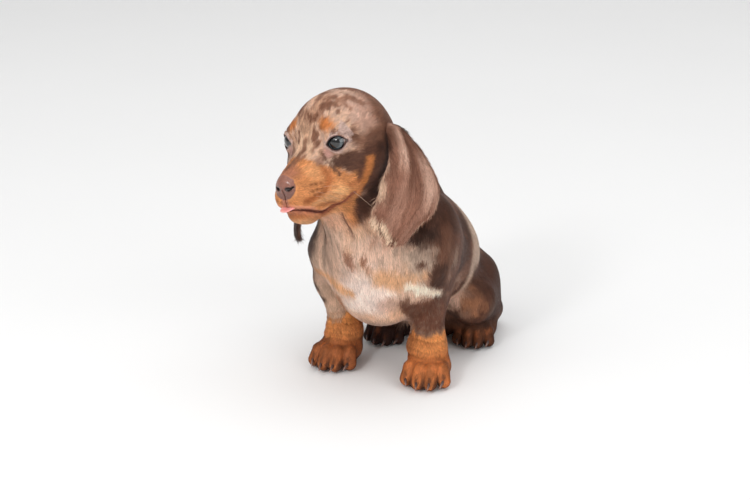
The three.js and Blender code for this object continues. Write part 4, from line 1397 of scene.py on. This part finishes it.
def ear_marks(p, info, side):
    """Milk-chocolate with paler streaks down it, painted sheen, painted shade along the fold and by the
    skull, and a pale fringe at the lower front rim.
    """
    v, u, shell = info.T
    line = np.stack([u * 18, v * 9, shell * 3], 1)
    streaks = noise(line, 1.3, 91 + side) * 0.6 + noise(line, 0.6, 92) * 0.4
    broad = fbm(line, 5, 90, 2)
    c = np.tile(rgb(136, 93, 75), (len(p), 1))
    # Painted sheen: a pale column down the ear's upper front and a patch at its rear, streaked like the
    # hair; broad pale patches of the coat go with it
    sheen_highlight = smooth(np.abs(u + 0.28), 0.42, 0.12) * smooth(v, 0.05, 0.14) * smooth(v, 0.46, 0.3)
    sheen_highlight = np.maximum(
        sheen_highlight, smooth(np.abs(u - 0.72), 0.42, 0.12) * smooth(v, 0.26, 0.4) * smooth(v, 0.68, 0.54)
    )
    lit = (0.55 + smooth(streaks, 0.3, 0.7)).clip(0, 1)
    c = over(c, rgb(204, 166, 146), (0.95 * sheen_highlight + 0.25 * smooth(broad, 0.5, 0.7)) * lit)
    c = over(c, rgb(164, 122, 103), 0.55 * smooth(streaks, 0.58, 0.78))
    c = over(c, rgb(106, 70, 55), 0.55 * smooth(1 - streaks, 0.56, 0.76))
    # Painted shade along the ear's fold
    fold = np.abs(u - 0.2 + 1.1 * np.maximum(v - 0.3, 0))
    c = over(
        c, rgb(98, 64, 50), 0.7 * smooth(fold, 0.2, 0.04) * smooth(v, 0.06, 0.16) * smooth(v, 0.64, 0.42)
    )
    # Darker across the ear's root and at its upper front; along the front edge beside the skull, painted
    # shadow
    c = over(c, rgb(104, 68, 53), 0.75 * smooth(v, 0.16, 0.03))
    c = over(c, DEEP, 0.9 * smooth(-u, 0.82, 0.97) * smooth(v, 0.27, 0.2))
    c = over(c, rgb(98, 64, 50), 0.65 * smooth(-u, 0.15, 0.6) * smooth(v, 0.3, 0.14))
    rim = fbm(line, 2.2, 93 + side, 2) - 0.5
    if side > 0:
        c = over(c, rgb(206, 172, 148), 0.85 * smooth(-u + 0.05 * rim, 0.95, 0.995) * smooth(v, 0.26, 0.34))
        patch = smooth(-u + 0.4 * rim, 0.70, 0.9) * smooth(v, 0.44, 0.5) * smooth(v, 0.74, 0.66)
        c = over(c, rgb(206, 174, 148), 0.95 * patch * (0.45 + 0.55 * smooth(streaks, 0.3, 0.5)))
        low = smooth(v - 0.10 * u + 0.10 * rim + 0.04 * (streaks - 0.5), 0.855, 0.915) * smooth(u, 0.9, 0.4)
        c = over(c, rgb(100, 65, 50), 0.8 * low)
        strands = smooth(streaks - 0.05 * u - 1.2 * np.maximum(v - 0.94, 0), 0.43, 0.54)
        c = over(c, rgb(224, 194, 166), 0.95 * low * strands)
        border = smooth(np.maximum(u, (v - 0.9) / 0.1), 0.965, 0.995)
        c = over(c, rgb(206, 174, 150), 0.8 * border * smooth(v, 0.5, 0.58))
    else:
        c = c * (1 - 0.45 * smooth(v, 0.45, 0.8))[:, None]
    c = over(c, rgb(190, 142, 122), 0.8 * smooth(-shell, 0.2, 0.6) * smooth(v, 0.05, 0.2))
    return np.clip(c, 0, 1)


# Eyes, nose, tongue, claws and whiskers


def turned(profile, sides, centre, axes):
    """A surface turned round an axis from a list of (radius, height) pairs."""
    along, out, up = axes
    points = []
    for r, h in profile:
        for j in range(sides):
            a = 2 * math.pi * j / sides
            points.append(centre + along * (r * math.cos(a)) + up * (r * math.sin(a)) + out * h)
    return np.array(points), ring_faces(len(profile), sides)


def outward(p, faces, middles=None):
    """Turns faces so that they look away from the middle of the piece."""
    middles = p.mean(0) if middles is None else middles
    mid = p[faces[:, :3]]
    n = np.cross(mid[:, 1] - mid[:, 0], mid[:, 2] - mid[:, 0])
    if ((mid.mean(1) - middles) * n).sum() < 0:
        faces = faces[:, ::-1]
    return faces


# Colours of the eye: sclera, its dark rim, the lid's line, the iris, its rays, its depth, the pupil
SCLERA, EYE_EDGE, LIMBUS, IRIS = rgb(172, 160, 156), rgb(104, 80, 72), rgb(18, 16, 18), rgb(56, 64, 68)
IRIS_RAYS, IRIS_DEPTH, PUPIL = rgb(90, 100, 103), rgb(26, 30, 34), rgb(5, 5, 6)
EYE_SIDES = 64


def eye_colours(local, side):
    """The eye's colours by the angle from its axis and from where it looks."""
    angle = np.degrees(np.arctan2(np.hypot(local[:, 0], local[:, 2]), local[:, 1]))
    gaze = np.array((-0.14 * side, 1, 0.10))
    turn = local @ gaze / np.linalg.norm(gaze) / np.linalg.norm(local, axis=1)
    seen = np.degrees(np.arccos(turn.clip(-1, 1)))
    spoke = np.degrees(np.arctan2(local[:, 2], local[:, 0]))
    ring = [np.cos(np.radians(spoke)) * 9, np.sin(np.radians(spoke)) * 9, angle * 0.06]
    rays = noise(np.stack(ring, 1), 0.9, 71)
    c = np.tile(SCLERA, (len(local), 1))
    c = over(c, EYE_EDGE, smooth(angle, 54, 49))
    c = over(c, LIMBUS, smooth(seen, 49, 45))
    c = over(c, IRIS, smooth(seen, 43, 38))
    c = over(c, IRIS_RAYS, 0.6 * smooth(seen, 40, 34) * smooth(rays, 0.35, 0.75))
    c = over(c, IRIS_DEPTH, 0.8 * smooth(seen, 31, 26))
    return over(c, PUPIL, smooth(seen, 25.5, 23.5))


def make_eye(side, material):
    centre = from_head(np.array([[EYE_AT[0] * side, EYE_AT[1], EYE_AT[2]]]))[0]
    axes = [v @ HEAD_ROT.T for v in gaze_of(side)]
    profile = []
    for a in np.radians(np.concatenate([np.linspace(0.4, 60, 54), np.linspace(63, 178, 28)])):
        bulge = 0.55 * smooth(np.array([a]), math.radians(40), math.radians(14))[0]
        r = EYE_R - 0.15 + bulge
        profile.append((r * math.sin(a), r * math.cos(a)))
    p, faces = turned(profile, EYE_SIDES, centre, axes)
    local = np.stack([(p - centre) @ v for v in axes], 1)
    name = "left" if side > 0 else "right"
    colours = eye_colours(local, side)
    add_piece("eyeball_" + name, p, outward(p, faces), colours, None, material, ["eye_" + name])


TONGUE_AT, TONGUE_R, TONGUE_PITCH = np.array((0.5, -53.0, -25.5)), (5.8, 10.2, 1.4), 3
TONGUE_SIDES, TONGUE_RINGS = 40, 23


def make_tongue(material):
    """A flat egg with squared sides and a groove along its middle."""
    points = []
    rx, ry, rz = TONGUE_R
    for i in range(TONGUE_RINGS):
        a = math.pi * i / (TONGUE_RINGS - 1)
        for j in range(TONGUE_SIDES):
            b = 2 * math.pi * j / TONGUE_SIDES
            x, y, z = math.sin(a) * math.cos(b), -math.cos(a), math.sin(a) * math.sin(b)
            x = math.copysign(abs(x) ** 0.8, x)
            z = z * (0.9 if z > 0 else 1)
            dent = -0.28 * math.exp(-((x / 0.2) ** 2)) * (z > 0) * math.sin(a)
            droop = 0.15 * max(-y - 0.45, 0) * 3
            points.append((x * rx, y * ry, (z + dent) * rz + 0.10 * (x * rx) ** 2 * 0.25 - droop))
    p = from_head(np.array(points) @ turn_of(pitch=TONGUE_PITCH).T + TONGUE_AT)
    faces = outward(p, ring_faces(TONGUE_RINGS, TONGUE_SIDES))
    c = np.tile(rgb(232, 150, 146), (len(p), 1))
    c = over(c, rgb(244, 176, 168), smooth(noise(p, 2.2, 75), 0.4, 0.7) * 0.7)
    add_piece("tongue_tip", p, faces, c, None, material, ["tongue"])


CLAW_RINGS, CLAW_SIDES, CLAW_LONG, CLAW_HALF = 9, 12, 7.0, 1.45
CLAW_ROOT, CLAW_TIP = rgb(58, 40, 36), rgb(150, 112, 98)
LOWEST = 0.5


def make_claws(material):
    """Curved claws that taper from the toes' ends, darker at the root."""
    points, faces, colours = [], [], []
    for paw, heading, size in FEET.values():
        for t, reach in zip(TOE_SIDE, TOE_REACH):
            faces.append(ring_faces(CLAW_RINGS, CLAW_SIDES, len(points)))
            root = np.array((t * 1.03, reach - 2.6, 6.2)) * size
            turn = turn_of(yaw=-t * 1.1)
            for i in range(CLAW_RINGS):
                s = i / (CLAW_RINGS - 1)
                centre = np.array((0, -CLAW_LONG * size * s, -2.5 * size * s * s - 0.15))
                wide = CLAW_HALF * size * (1 - s) ** 0.55 + 0.06
                k = min(max((s - 0.35) / 0.6, 0), 1)
                for j in range(CLAW_SIDES):
                    a = 2 * math.pi * j / CLAW_SIDES
                    high = 1.15 if math.sin(a) > 0 else 0.9
                    q = centre + np.array((math.cos(a) * wide * 0.72, 0, math.sin(a) * wide * high))
                    points.append((q @ turn.T + root) @ turn_of(yaw=heading).T + np.array((*paw, 0)))
                    colours.append(CLAW_ROOT * (1 - k) + CLAW_TIP * k)
    p = np.array(points)
    p[:, 2] = np.maximum(p[:, 2], LOWEST)
    faces = np.concatenate(faces)
    each = CLAW_RINGS * CLAW_SIDES
    middles = p.reshape(-1, each, 3).mean(1)[faces[:, 0] // each]
    add_piece("claws", p, outward(p, faces, middles), np.array(colours), None, material, ())


def thread(points, radius, sides=5):
    """A tapering hair through the points."""
    n = len(points)
    d = np.gradient(points, axis=0)
    d /= np.linalg.norm(d, axis=1, keepdims=True)
    a = np.cross(d, (0.3, 0.1, 1.0))
    a /= np.linalg.norm(a, axis=1, keepdims=True)
    b = np.cross(d, a)
    r = radius * (1 - np.linspace(0, 1, n)) ** 0.7 + 0.02
    turns = [2 * math.pi * j / sides for j in range(sides)]
    p = [points + (a * math.cos(t) + b * math.sin(t)) * r[:, None] for t in turns]
    return np.stack(p, 1).reshape(-1, 3), ring_faces(n, sides)


def on_head(root):
    """A place moved onto the head's surface, and the way out of it."""
    for _ in range(6):
        d, g, n = slope(HEAD, root[None])
        root = root - g[0] * d[0]
    return root, n[0]


WHISKER_Y, WHISKER_Z, WHISKER_R = (-47, -40), (-17, -21, -24.5), 0.06
CHEEK_HAIR_AT, CHEEK_HAIR_LONG, CHEEK_HAIR_R = (24, -21, -26), 15, 0.09
SUNK = 0.8


def make_whiskers(material, rng):
    """Short whiskers on both pads, and one hair on each cheek."""
    hairs = []
    for s in (1, -1):
        for y in WHISKER_Y:
            for z in WHISKER_Z:
                root, n = on_head(np.array((s * 20, y + rng.normal(0, 0.7), z + rng.normal(0, 0.6))))
                out = n * 0.55 + np.array((0.35 * s, 0.75, -0.12)) + rng.normal(0, 0.1, 3)
                out /= np.linalg.norm(out)
                length = rng.uniform(6, 11)
                t = np.linspace(0, 1, 8)[:, None]
                path = root - n * SUNK + out * t * length + np.array((0, 0.8, -2.6)) * t * t * 1.2
                hairs.append(thread(path, WHISKER_R))
    for s in (1, -1):
        x, y, z = CHEEK_HAIR_AT
        root, n = on_head(np.array((s * x, y, z)))
        t = np.linspace(0, 1, 10)[:, None]
        path = root - n * SUNK + (n * 0.5 + np.array((0.55 * s, 0.35, -0.75))) * t * CHEEK_HAIR_LONG
        hairs.append(thread(path, CHEEK_HAIR_R))
    start = np.cumsum([0] + [len(p) for p, _ in hairs])
    p = from_head(np.concatenate([p for p, _ in hairs]))
    faces = np.concatenate([f + first for (_, f), first in zip(hairs, start)])
    c = np.tile(rgb(190, 158, 134), (len(p), 1))
    add_piece("whiskers", p, faces, c, None, material)


# Materials


def nodes_of(name):
    material = bpy.data.materials.new(name)
    material.use_nodes = True
    tree = material.node_tree
    tree.nodes.clear()
    out = tree.nodes.new("ShaderNodeOutputMaterial")
    shader = tree.nodes.new("ShaderNodeBsdfPrincipled")
    tree.links.new(shader.outputs[0], out.inputs[0])
    return material, tree, shader


def add(tree, kind, links=(), **values):
    """A new node: values that start with _ set its inputs, the others its properties."""
    node = tree.nodes.new(kind)
    for key, value in values.items():
        if key[0] == "_":
            node.inputs[key[1:].replace("_", " ")].default_value = value
        else:
            setattr(node, key, value)
    for socket, source in links:
        tree.links.new(source, node.inputs[socket])
    return node


def ramp(tree, source, into=(0, 1), out=(0, 1)):
    """The source's values carried from one range to another."""
    node = add(tree, "ShaderNodeMapRange", [(0, source)])
    for socket, value in enumerate((*into, *out), 1):
        node.inputs[socket].default_value = value
    return node.outputs[0]


def object_place(tree):
    return add(tree, "ShaderNodeTexCoord").outputs["Object"]


def tinted(tree, shader, level):
    """Gives the shader the Marks' colour, made lighter or darker by the level."""
    marks_ = add(tree, "ShaderNodeAttribute", attribute_name="Marks").outputs["Color"]
    colour = add(tree, "ShaderNodeVectorMath", [(0, marks_), (1, level)], operation="MULTIPLY")
    tree.links.new(colour.outputs[0], shader.inputs["Base Color"])


def raised(tree, shader, height, bump, depth):
    relief = add(tree, "ShaderNodeBump", [("Height", height)], _Strength=bump, _Distance=depth)
    tree.links.new(relief.outputs[0], shader.inputs["Normal"])


def finished(shader, **finish):
    for key, value in finish.items():
        shader.inputs[key.replace("_", " ")].default_value = value


def marked(name, rough, grain, bump, depth, vary, stretch=(1, 1, 1), **finish):
    """A surface coloured by its Marks, with grain in its colour, roughness and relief."""
    material, tree, shader = nodes_of(name)
    place = object_place(tree)
    scaled = add(tree, "ShaderNodeMapping", [("Vector", place)])
    scaled.inputs["Scale"].default_value = stretch
    look = dict(_Scale=grain, _Detail=4.0, _Roughness=0.6)
    fine = add(tree, "ShaderNodeTexNoise", [("Vector", scaled.outputs[0])], **look).outputs[0]
    broad = add(tree, "ShaderNodeTexNoise", [("Vector", place)], _Scale=grain / 9, _Detail=3.0).outputs[0]
    total = add(tree, "ShaderNodeMath", [(0, fine), (1, broad)], operation="ADD").outputs[0]
    tinted(tree, shader, ramp(tree, total, (0.7, 1.3), (1 - vary, 1 + vary)))
    tree.links.new(ramp(tree, fine, (0.35, 0.65), rough), shader.inputs["Roughness"])
    raised(tree, shader, fine, bump, depth)
    finished(shader, **finish)
    return material


def leather(name):
    """Nose leather: small raised pebbles with darker seams between them."""
    material, tree, shader = nodes_of(name)
    place = object_place(tree)
    look = dict(_Scale=1250.0, feature="DISTANCE_TO_EDGE")
    cells = add(tree, "ShaderNodeTexVoronoi", [("Vector", place)], **look).outputs["Distance"]
    mist = add(tree, "ShaderNodeTexNoise", [("Vector", place)], _Scale=300.0, _Detail=4.0).outputs[0]
    edge = ramp(tree, cells, (0, 0.32))
    level, tone = ramp(tree, edge, out=(0.78, 1.06)), ramp(tree, mist, (0.35, 0.65), (0.88, 1.12))
    mixed = add(tree, "ShaderNodeMath", [(0, level), (1, tone)], operation="MULTIPLY").outputs[0]
    tinted(tree, shader, mixed)
    tree.links.new(ramp(tree, mist, out=(0.30, 0.5)), shader.inputs["Roughness"])
    raised(tree, shader, edge, 0.6, 0.00022)
    finished(shader, Coat_Weight=0.45, Coat_Roughness=0.2)
    return material


HAIR = marked(
    "short_coat", (0.42, 0.62), 700, bump=0.15, depth=0.0001, vary=0.10,
    Sheen_Weight=0.02, Sheen_Roughness=0.5, Specular_IOR_Level=0.15,
)
SKIN = marked(
    "coat_skin", (0.55, 0.78), 900, bump=0.55, depth=0.00025, vary=0.16, stretch=(1, 1, 0.4),
    Sheen_Weight=0.03, Sheen_Roughness=0.5, Specular_IOR_Level=0.2,
)
EYE = marked(
    "eye_wet", (0.03, 0.06), 900, bump=0.02, depth=0.00002, vary=0.06,
    Coat_Weight=0.9, Coat_Roughness=0.02, Specular_IOR_Level=0.5,
)
TONGUE = marked(
    "tongue_wet", (0.28, 0.42), 1900, bump=0.45, depth=0.0002, vary=0.08,
    Subsurface_Weight=0.15, Subsurface_Scale=0.002, Coat_Weight=0.35, Coat_Roughness=0.2,
)
CLAW = marked(
    "claw_horn", (0.28, 0.42), 500, bump=0.2, depth=0.0001, vary=0.15, stretch=(4, 0.5, 1),
    Coat_Weight=0.3, Coat_Roughness=0.2,
)
WHISKER = marked("whisker", (0.35, 0.5), 900, bump=0.05, depth=0.0002, vary=0.08)
LEATHER = leather("nose_leather")

# Skin

rng = np.random.default_rng(7)
FINE = 1.0
HEAD_STEP, BODY_STEP, FOOT_STEP = 0.72, 1.15, 0.74

# Pieces of skin overlap by this much and sink a little where they do.
OVERLAP, SINK = 1.6, 0.2


def foot_height(name):
    return 44 if name.startswith("fore") else 18


def skin_mesh(field, lo, hi, step):
    p, quads = net(field, lo, hi, step * FINE)
    p, n = settle(field, p)
    return p, quads, n


def sunk(p, n, past):
    """Points lowered where they lie past the border of their piece."""
    return p - n * (SINK * smooth(past, 0, OVERLAP))[:, None]


def head_and_nose():
    p, quads, n = skin_mesh(head_flesh, (-38, -66, -62), (38, 46, 40), HEAD_STEP)
    on_nose = (NOSE_CUT(p) < 0)[quads].all(1)
    p, n = from_head(p), n @ HEAD_ROT.T
    nose = used_only(p, quads[on_nose], n)
    inside = beyond_neck(p)
    keep = (inside > -OVERLAP)[quads].all(1) & ~on_nose
    return used_only(sunk(p, n, -inside), quads[keep], n), nose


def body_skin():
    p, quads, n = skin_mesh(flesh, (-62, -60, -1), (66, 166, 190), BODY_STEP)
    feet = np.min([near_foot(p, name, foot_height(name)) for name in FEET], axis=0)
    outside = np.maximum(beyond_neck(p), -feet)
    return used_only(sunk(p, n, outside), quads[(outside < OVERLAP)[quads].all(1)], n)


def foot_skin(name):
    (x, y), _, size = FEET[name]
    tall = foot_height(name)
    lo, hi = (x - 30 * size, y - 34 * size, -1), (x + 30 * size, y + 26 * size, tall + 3)
    p, quads, n = skin_mesh(flesh, lo, hi, FOOT_STEP)
    d = near_foot(p, name, tall)
    return used_only(sunk(p, n, d), quads[(d < OVERLAP)[quads].all(1)], n)


def head_colours(p):
    """The markings, with painted shade inside the mouth: the deeper the skin lies there, the darker."""
    c = chunked(marks, p)
    deep = -chunked(flesh, p)
    _, y, z = to_head(p).T
    # Painted shade inside the mouth, near black where the skin lies deepest in the lip slot
    mouth = smooth(deep, 0.35, 1.3) * smooth(np.abs(z - lip_height(y)), 4, 2.5) * smooth(y, -15, -18)
    c = over(c, rgb(112, 60, 50), 0.9 * mouth)
    return over(c, rgb(62, 34, 30), smooth(deep, 1.2, 2.0) * (mouth > 0.2))


def nose_colours(q):
    c = np.tile(rgb(134, 80, 62), (len(q), 1))
    # Paler towards the top as a painted highlight, darker towards the bottom as painted shade
    c = over(c, rgb(150, 94, 74), 0.6 * smooth(q[:, 2], -12, -7))
    c = over(c, rgb(110, 70, 60), 0.6 * smooth(q[:, 2], -12, -17))
    # Painted shade inside the nostrils
    return over(c, rgb(34, 20, 20), smooth(NOSTRILS(q), 0.5, -0.1))


(head_p, head_q, head_n), (nose_p, nose_q, nose_n) = head_and_nose()
body_p, body_q, body_n = body_skin()
foot_parts = {name: foot_skin(name) for name in FEET}

add_piece("skin_head", head_p, head_q, head_colours(head_p), head_n, SKIN, ["head"])
body_c = chunked(marks, body_p) * 0.92
add_piece("skin_body", body_p, body_q, body_c, body_n, SKIN, ["neck", "torso", "tail"])
for name, (p, quads, n) in foot_parts.items():
    add_piece("skin_" + name, p, quads, chunked(marks, p) * 0.95, n, SKIN, [name])
nose_c = nose_colours(to_head(nose_p))
add_piece("nose_pad", nose_p + nose_n * 0.12, nose_q, nose_c, nose_n, LEATHER, ["nose"])

# Coat

# Tufts to a square millimetre, all of them scaled by LESS.
LESS = 1.0
HEAD_HAIRS, BODY_HAIRS, LEG_HAIRS, FOOT_HAIRS, EAR_HAIRS = 5.2, 2.7, 1.0, 4.6, (5.5, 2.6)

# No hair starts lower over the floor than this.
CLEAR = 0.9


def open_skin(p):
    """Where hair grows on the head: not in the mouth, the nostrils or between the lids."""
    q = to_head(p)
    ok = chunked(flesh, p) > -0.28
    ok &= NOSE_CUT(q) > 0.25
    for s in (1, -1):
        e = eye_local(q, s)
        ok &= ~((np.einsum("ij,ij->i", e, e) < 220) & (e[:, 1] > 0) & (opening(e) < 1.3))
    return ok


def coat(name, roots, normals, length, width, lift, vary=0.16):
    """Tufts that lie with the coat, in gentle swirls."""
    colours = chunked(marks, roots)
    along = across(lie(roots), normals)
    swirl = (noise(roots, 11, 81) - 0.5) * 0.9
    side = np.cross(normals, along)
    along = along * np.cos(swirl)[:, None] + side * np.sin(swirl)[:, None]
    tufts(name, roots, normals, along, length, width, lift, colours, rng, flesh, vary)


def coat_head():
    roots, normals = scatter(head_p, quads_to_tris(head_q), HEAD_HAIRS * LESS, rng, head_n)
    ok = open_skin(roots) & (beyond_neck(roots) > -0.5)
    roots, normals = roots[ok], unit(normals[ok])
    q = to_head(roots)
    snout = smooth(q[:, 1], -18, -36)
    near_eye = np.zeros(len(q))
    for s in (1, -1):
        e = eye_local(q, s)
        near_eye = np.maximum(near_eye, smooth(np.linalg.norm(e, axis=1), 15, 9) * (e[:, 1] > 0))
    length = (4.2 - 2.0 * snout) * (1 - 0.5 * near_eye)
    width, lift = 0.26 - 0.06 * snout, 0.42 - 0.16 * np.maximum(snout, near_eye)
    left = q[:, 0] > 0
    for name, m in (("coat_head_left", left), ("coat_head_right", ~left)):
        coat(name, roots[m], normals[m], length[m], width[m], lift[m])


def legs_low(p):
    """1 on the lower legs, 0 on the trunk."""
    return smooth(p[:, 2], 60, 40) * smooth(np.abs(p[:, 0]), 18, 28)


def coat_body():
    tris = quads_to_tris(body_q)
    density = (BODY_HAIRS + LEG_HAIRS * legs_low(body_p))[tris].mean(1)
    density *= (beyond_neck(body_p) < 0.5)[tris].all(1)
    roots, normals = scatter(body_p, tris, density * LESS, rng, body_n)
    normals = unit(normals)
    low = legs_low(roots)
    _, y, z = roots.T
    length = 6.4 - 2.0 * low - 1.2 * ((y > 130) & (z < 24))
    length = np.minimum(length, 4.2 + 3 * smooth(-beyond_neck(roots), -2, 14))
    parts = {
        "coat_chest": (y <= 14) & (z > CLEAR),
        "coat_flanks": (y > 14) & (z > 62),
        "coat_hips": (y > 14) & (y <= 84) & (z <= 62) & (z > CLEAR),
        "coat_rump": (y > 84) & (z <= 62) & (z > CLEAR),
    }
    width, lift = 0.31 - 0.04 * low, 0.58 - 0.22 * low
    for name, m in parts.items():
        coat(name, roots[m], normals[m], length[m], width[m], lift[m], vary=0.12)


def coat_foot(name, p, quads, n):
    roots, normals = scatter(p, quads_to_tris(quads), FOOT_HAIRS * LESS, rng, n)
    ok = (near_foot(roots, name, foot_height(name)) < 0.5) & (roots[:, 2] > CLEAR)
    roots, normals = roots[ok], unit(normals[ok])
    down = smooth(roots[:, 2], 24, 12)
    coat("coat_" + name, roots, normals, 3.6 - 1.3 * down, 0.26, 0.34 - 0.1 * down)


def dress_ear(which):
    """The ear's skin and its hair, which runs down it and is longest at the rim."""
    side = EARS[which][0]
    p, tris, n, lines, info = ear_mesh(which)
    add_piece("ear_skin_" + which, p, tris, ear_marks(p, info, side) * 0.96, n, SKIN, ["ear_" + which])
    outer, inner = EAR_HAIRS
    down, _, shell = info[tris].mean(1).T
    density = np.where(shell > 0, outer, inner) * (down > 0.1) * LESS
    own_rng = np.random.default_rng(31 if side > 0 else 32)
    roots, normals, along, place = scatter(p, tris, density, own_rng, n, lines, info)
    normals = unit(normals)
    along = across(along + (rng.random(roots.shape) - 0.5) * 0.2, normals)
    rim = np.minimum(smooth(np.abs(place[:, 1]), 0.86, 0.98) + smooth(place[:, 0], 0.93, 0.99), 1)
    colours = ear_marks(roots, place, side)
    length, lift = 4.6 + 1.2 * rim, 0.35 + 0.2 * rim
    tufts("coat_ear_" + which, roots, normals, along, length, 0.27, lift, colours, rng)


coat_head()
coat_body()
for name, (p, quads, n) in foot_parts.items():
    coat_foot(name, p, quads, n)
for which in EARS:
    dress_ear(which)
for s in (1, -1):
    make_eye(s, EYE)
make_tongue(TONGUE)
make_claws(CLAW)
make_whiskers(WHISKER, rng)

# Camera: in front of the chest, to its left and above

AZ, EL, DIST = math.radians(25), math.radians(18), 1.35
TARGET = to_scene(np.array((-11.5, 16.7, 82)))
SENSOR, FOCAL, NEAREST, FARTHEST = 36, 95.3, 0.05, 20


def look_at(obj, at, target):
    obj.location = at
    obj.rotation_euler = (Vector(target) - Vector(at)).to_track_quat("-Z", "Y").to_euler()


def make_camera():
    lens = bpy.data.cameras.new("camera")
    lens.sensor_width, lens.lens = SENSOR, FOCAL
    lens.clip_start, lens.clip_end = NEAREST, FARTHEST
    camera = bpy.data.objects.new("camera", lens)
    bpy.context.scene.collection.objects.link(camera)
    forward = np.array((-math.sin(AZ) * math.cos(EL), math.cos(AZ) * math.cos(EL), -math.sin(EL)))
    look_at(camera, tuple(TARGET - forward * DIST), tuple(TARGET))
    bpy.context.scene.camera = camera


make_camera()

# Floor: white paper that curves up into a wall behind the dog, square to the camera

FLOOR_FRONT, FLOOR_BACK, CURVE, WALL_TOP, HALF_WIDE, CURVE_STEPS = -3.0, 1.8, 0.8, 3.4, 3.5, 24


def sweep_mesh():
    profile = [(FLOOR_FRONT, 0.0)]
    for i in range(CURVE_STEPS + 1):
        a = math.pi / 2 * i / CURVE_STEPS
        profile.append((FLOOR_BACK + CURVE * math.sin(a), CURVE * (1 - math.cos(a))))
    profile.append((FLOOR_BACK + CURVE, WALL_TOP))
    points = []
    for d, z in profile:
        for w in (-HALF_WIDE, HALF_WIDE):
            x, y = w * math.cos(AZ) - d * math.sin(AZ), w * math.sin(AZ) + d * math.cos(AZ)
            points.append((x, y, z))
    faces = [(2 * i, 2 * i + 1, 2 * i + 3, 2 * i + 2) for i in range(len(profile) - 1)]
    mesh = bpy.data.meshes.new("sweep")
    mesh.from_pydata(points, [], faces)
    mesh.polygons.foreach_set("use_smooth", [True] * len(faces))
    return mesh


def paper():
    material, tree, shader = nodes_of("paper")
    look = dict(_Scale=3.0, _Detail=3.0)
    grain = add(tree, "ShaderNodeTexNoise", [("Vector", object_place(tree))], **look).outputs[0]
    tree.links.new(ramp(tree, grain, out=(0.84, 0.87)), shader.inputs["Base Color"])
    finished(shader, Roughness=0.8, Specular_IOR_Level=0.2)
    return material


sweep = bpy.data.objects.new("sweep", sweep_mesh())
bpy.context.scene.collection.objects.link(sweep)
sweep.data.materials.append(paper())

# Light: name, place, width and height, power, colour

WHITE, WARM = (1, 1, 1), (1, 0.99, 0.97)
LIGHTS = [
    ("key", (-0.5, -1.6, 1.5), (2.0, 1.6), 14, WARM),
    ("window", (-0.1, -1.5, 0.95), (0.24, 0.24), 7.4, WHITE),
    ("fill", (1.9, -0.9, 0.9), (1.6, 1.4), 14, WHITE),
    ("top", (0.2, 0.3, 2.0), (2.8, 2.6), 27, WHITE),
]
LIT, AMBIENT = (0, 0, 0.1), 0.40

for name, at, (wide, high), power, colour in LIGHTS:
    data = bpy.data.lights.new(name, "AREA")
    data.shape, data.size, data.size_y = "RECTANGLE", wide, high
    data.energy, data.color = power, colour
    light = bpy.data.objects.new(name, data)
    bpy.context.scene.collection.objects.link(light)
    look_at(light, at, LIT)

world = bpy.data.worlds.new("studio")
bpy.context.scene.world = world
world.use_nodes = True
background = world.node_tree.nodes["Background"]
background.inputs[0].default_value = (*WHITE, 1)
background.inputs[1].default_value = AMBIENT
bpy.context.scene.view_settings.view_transform = "Standard"
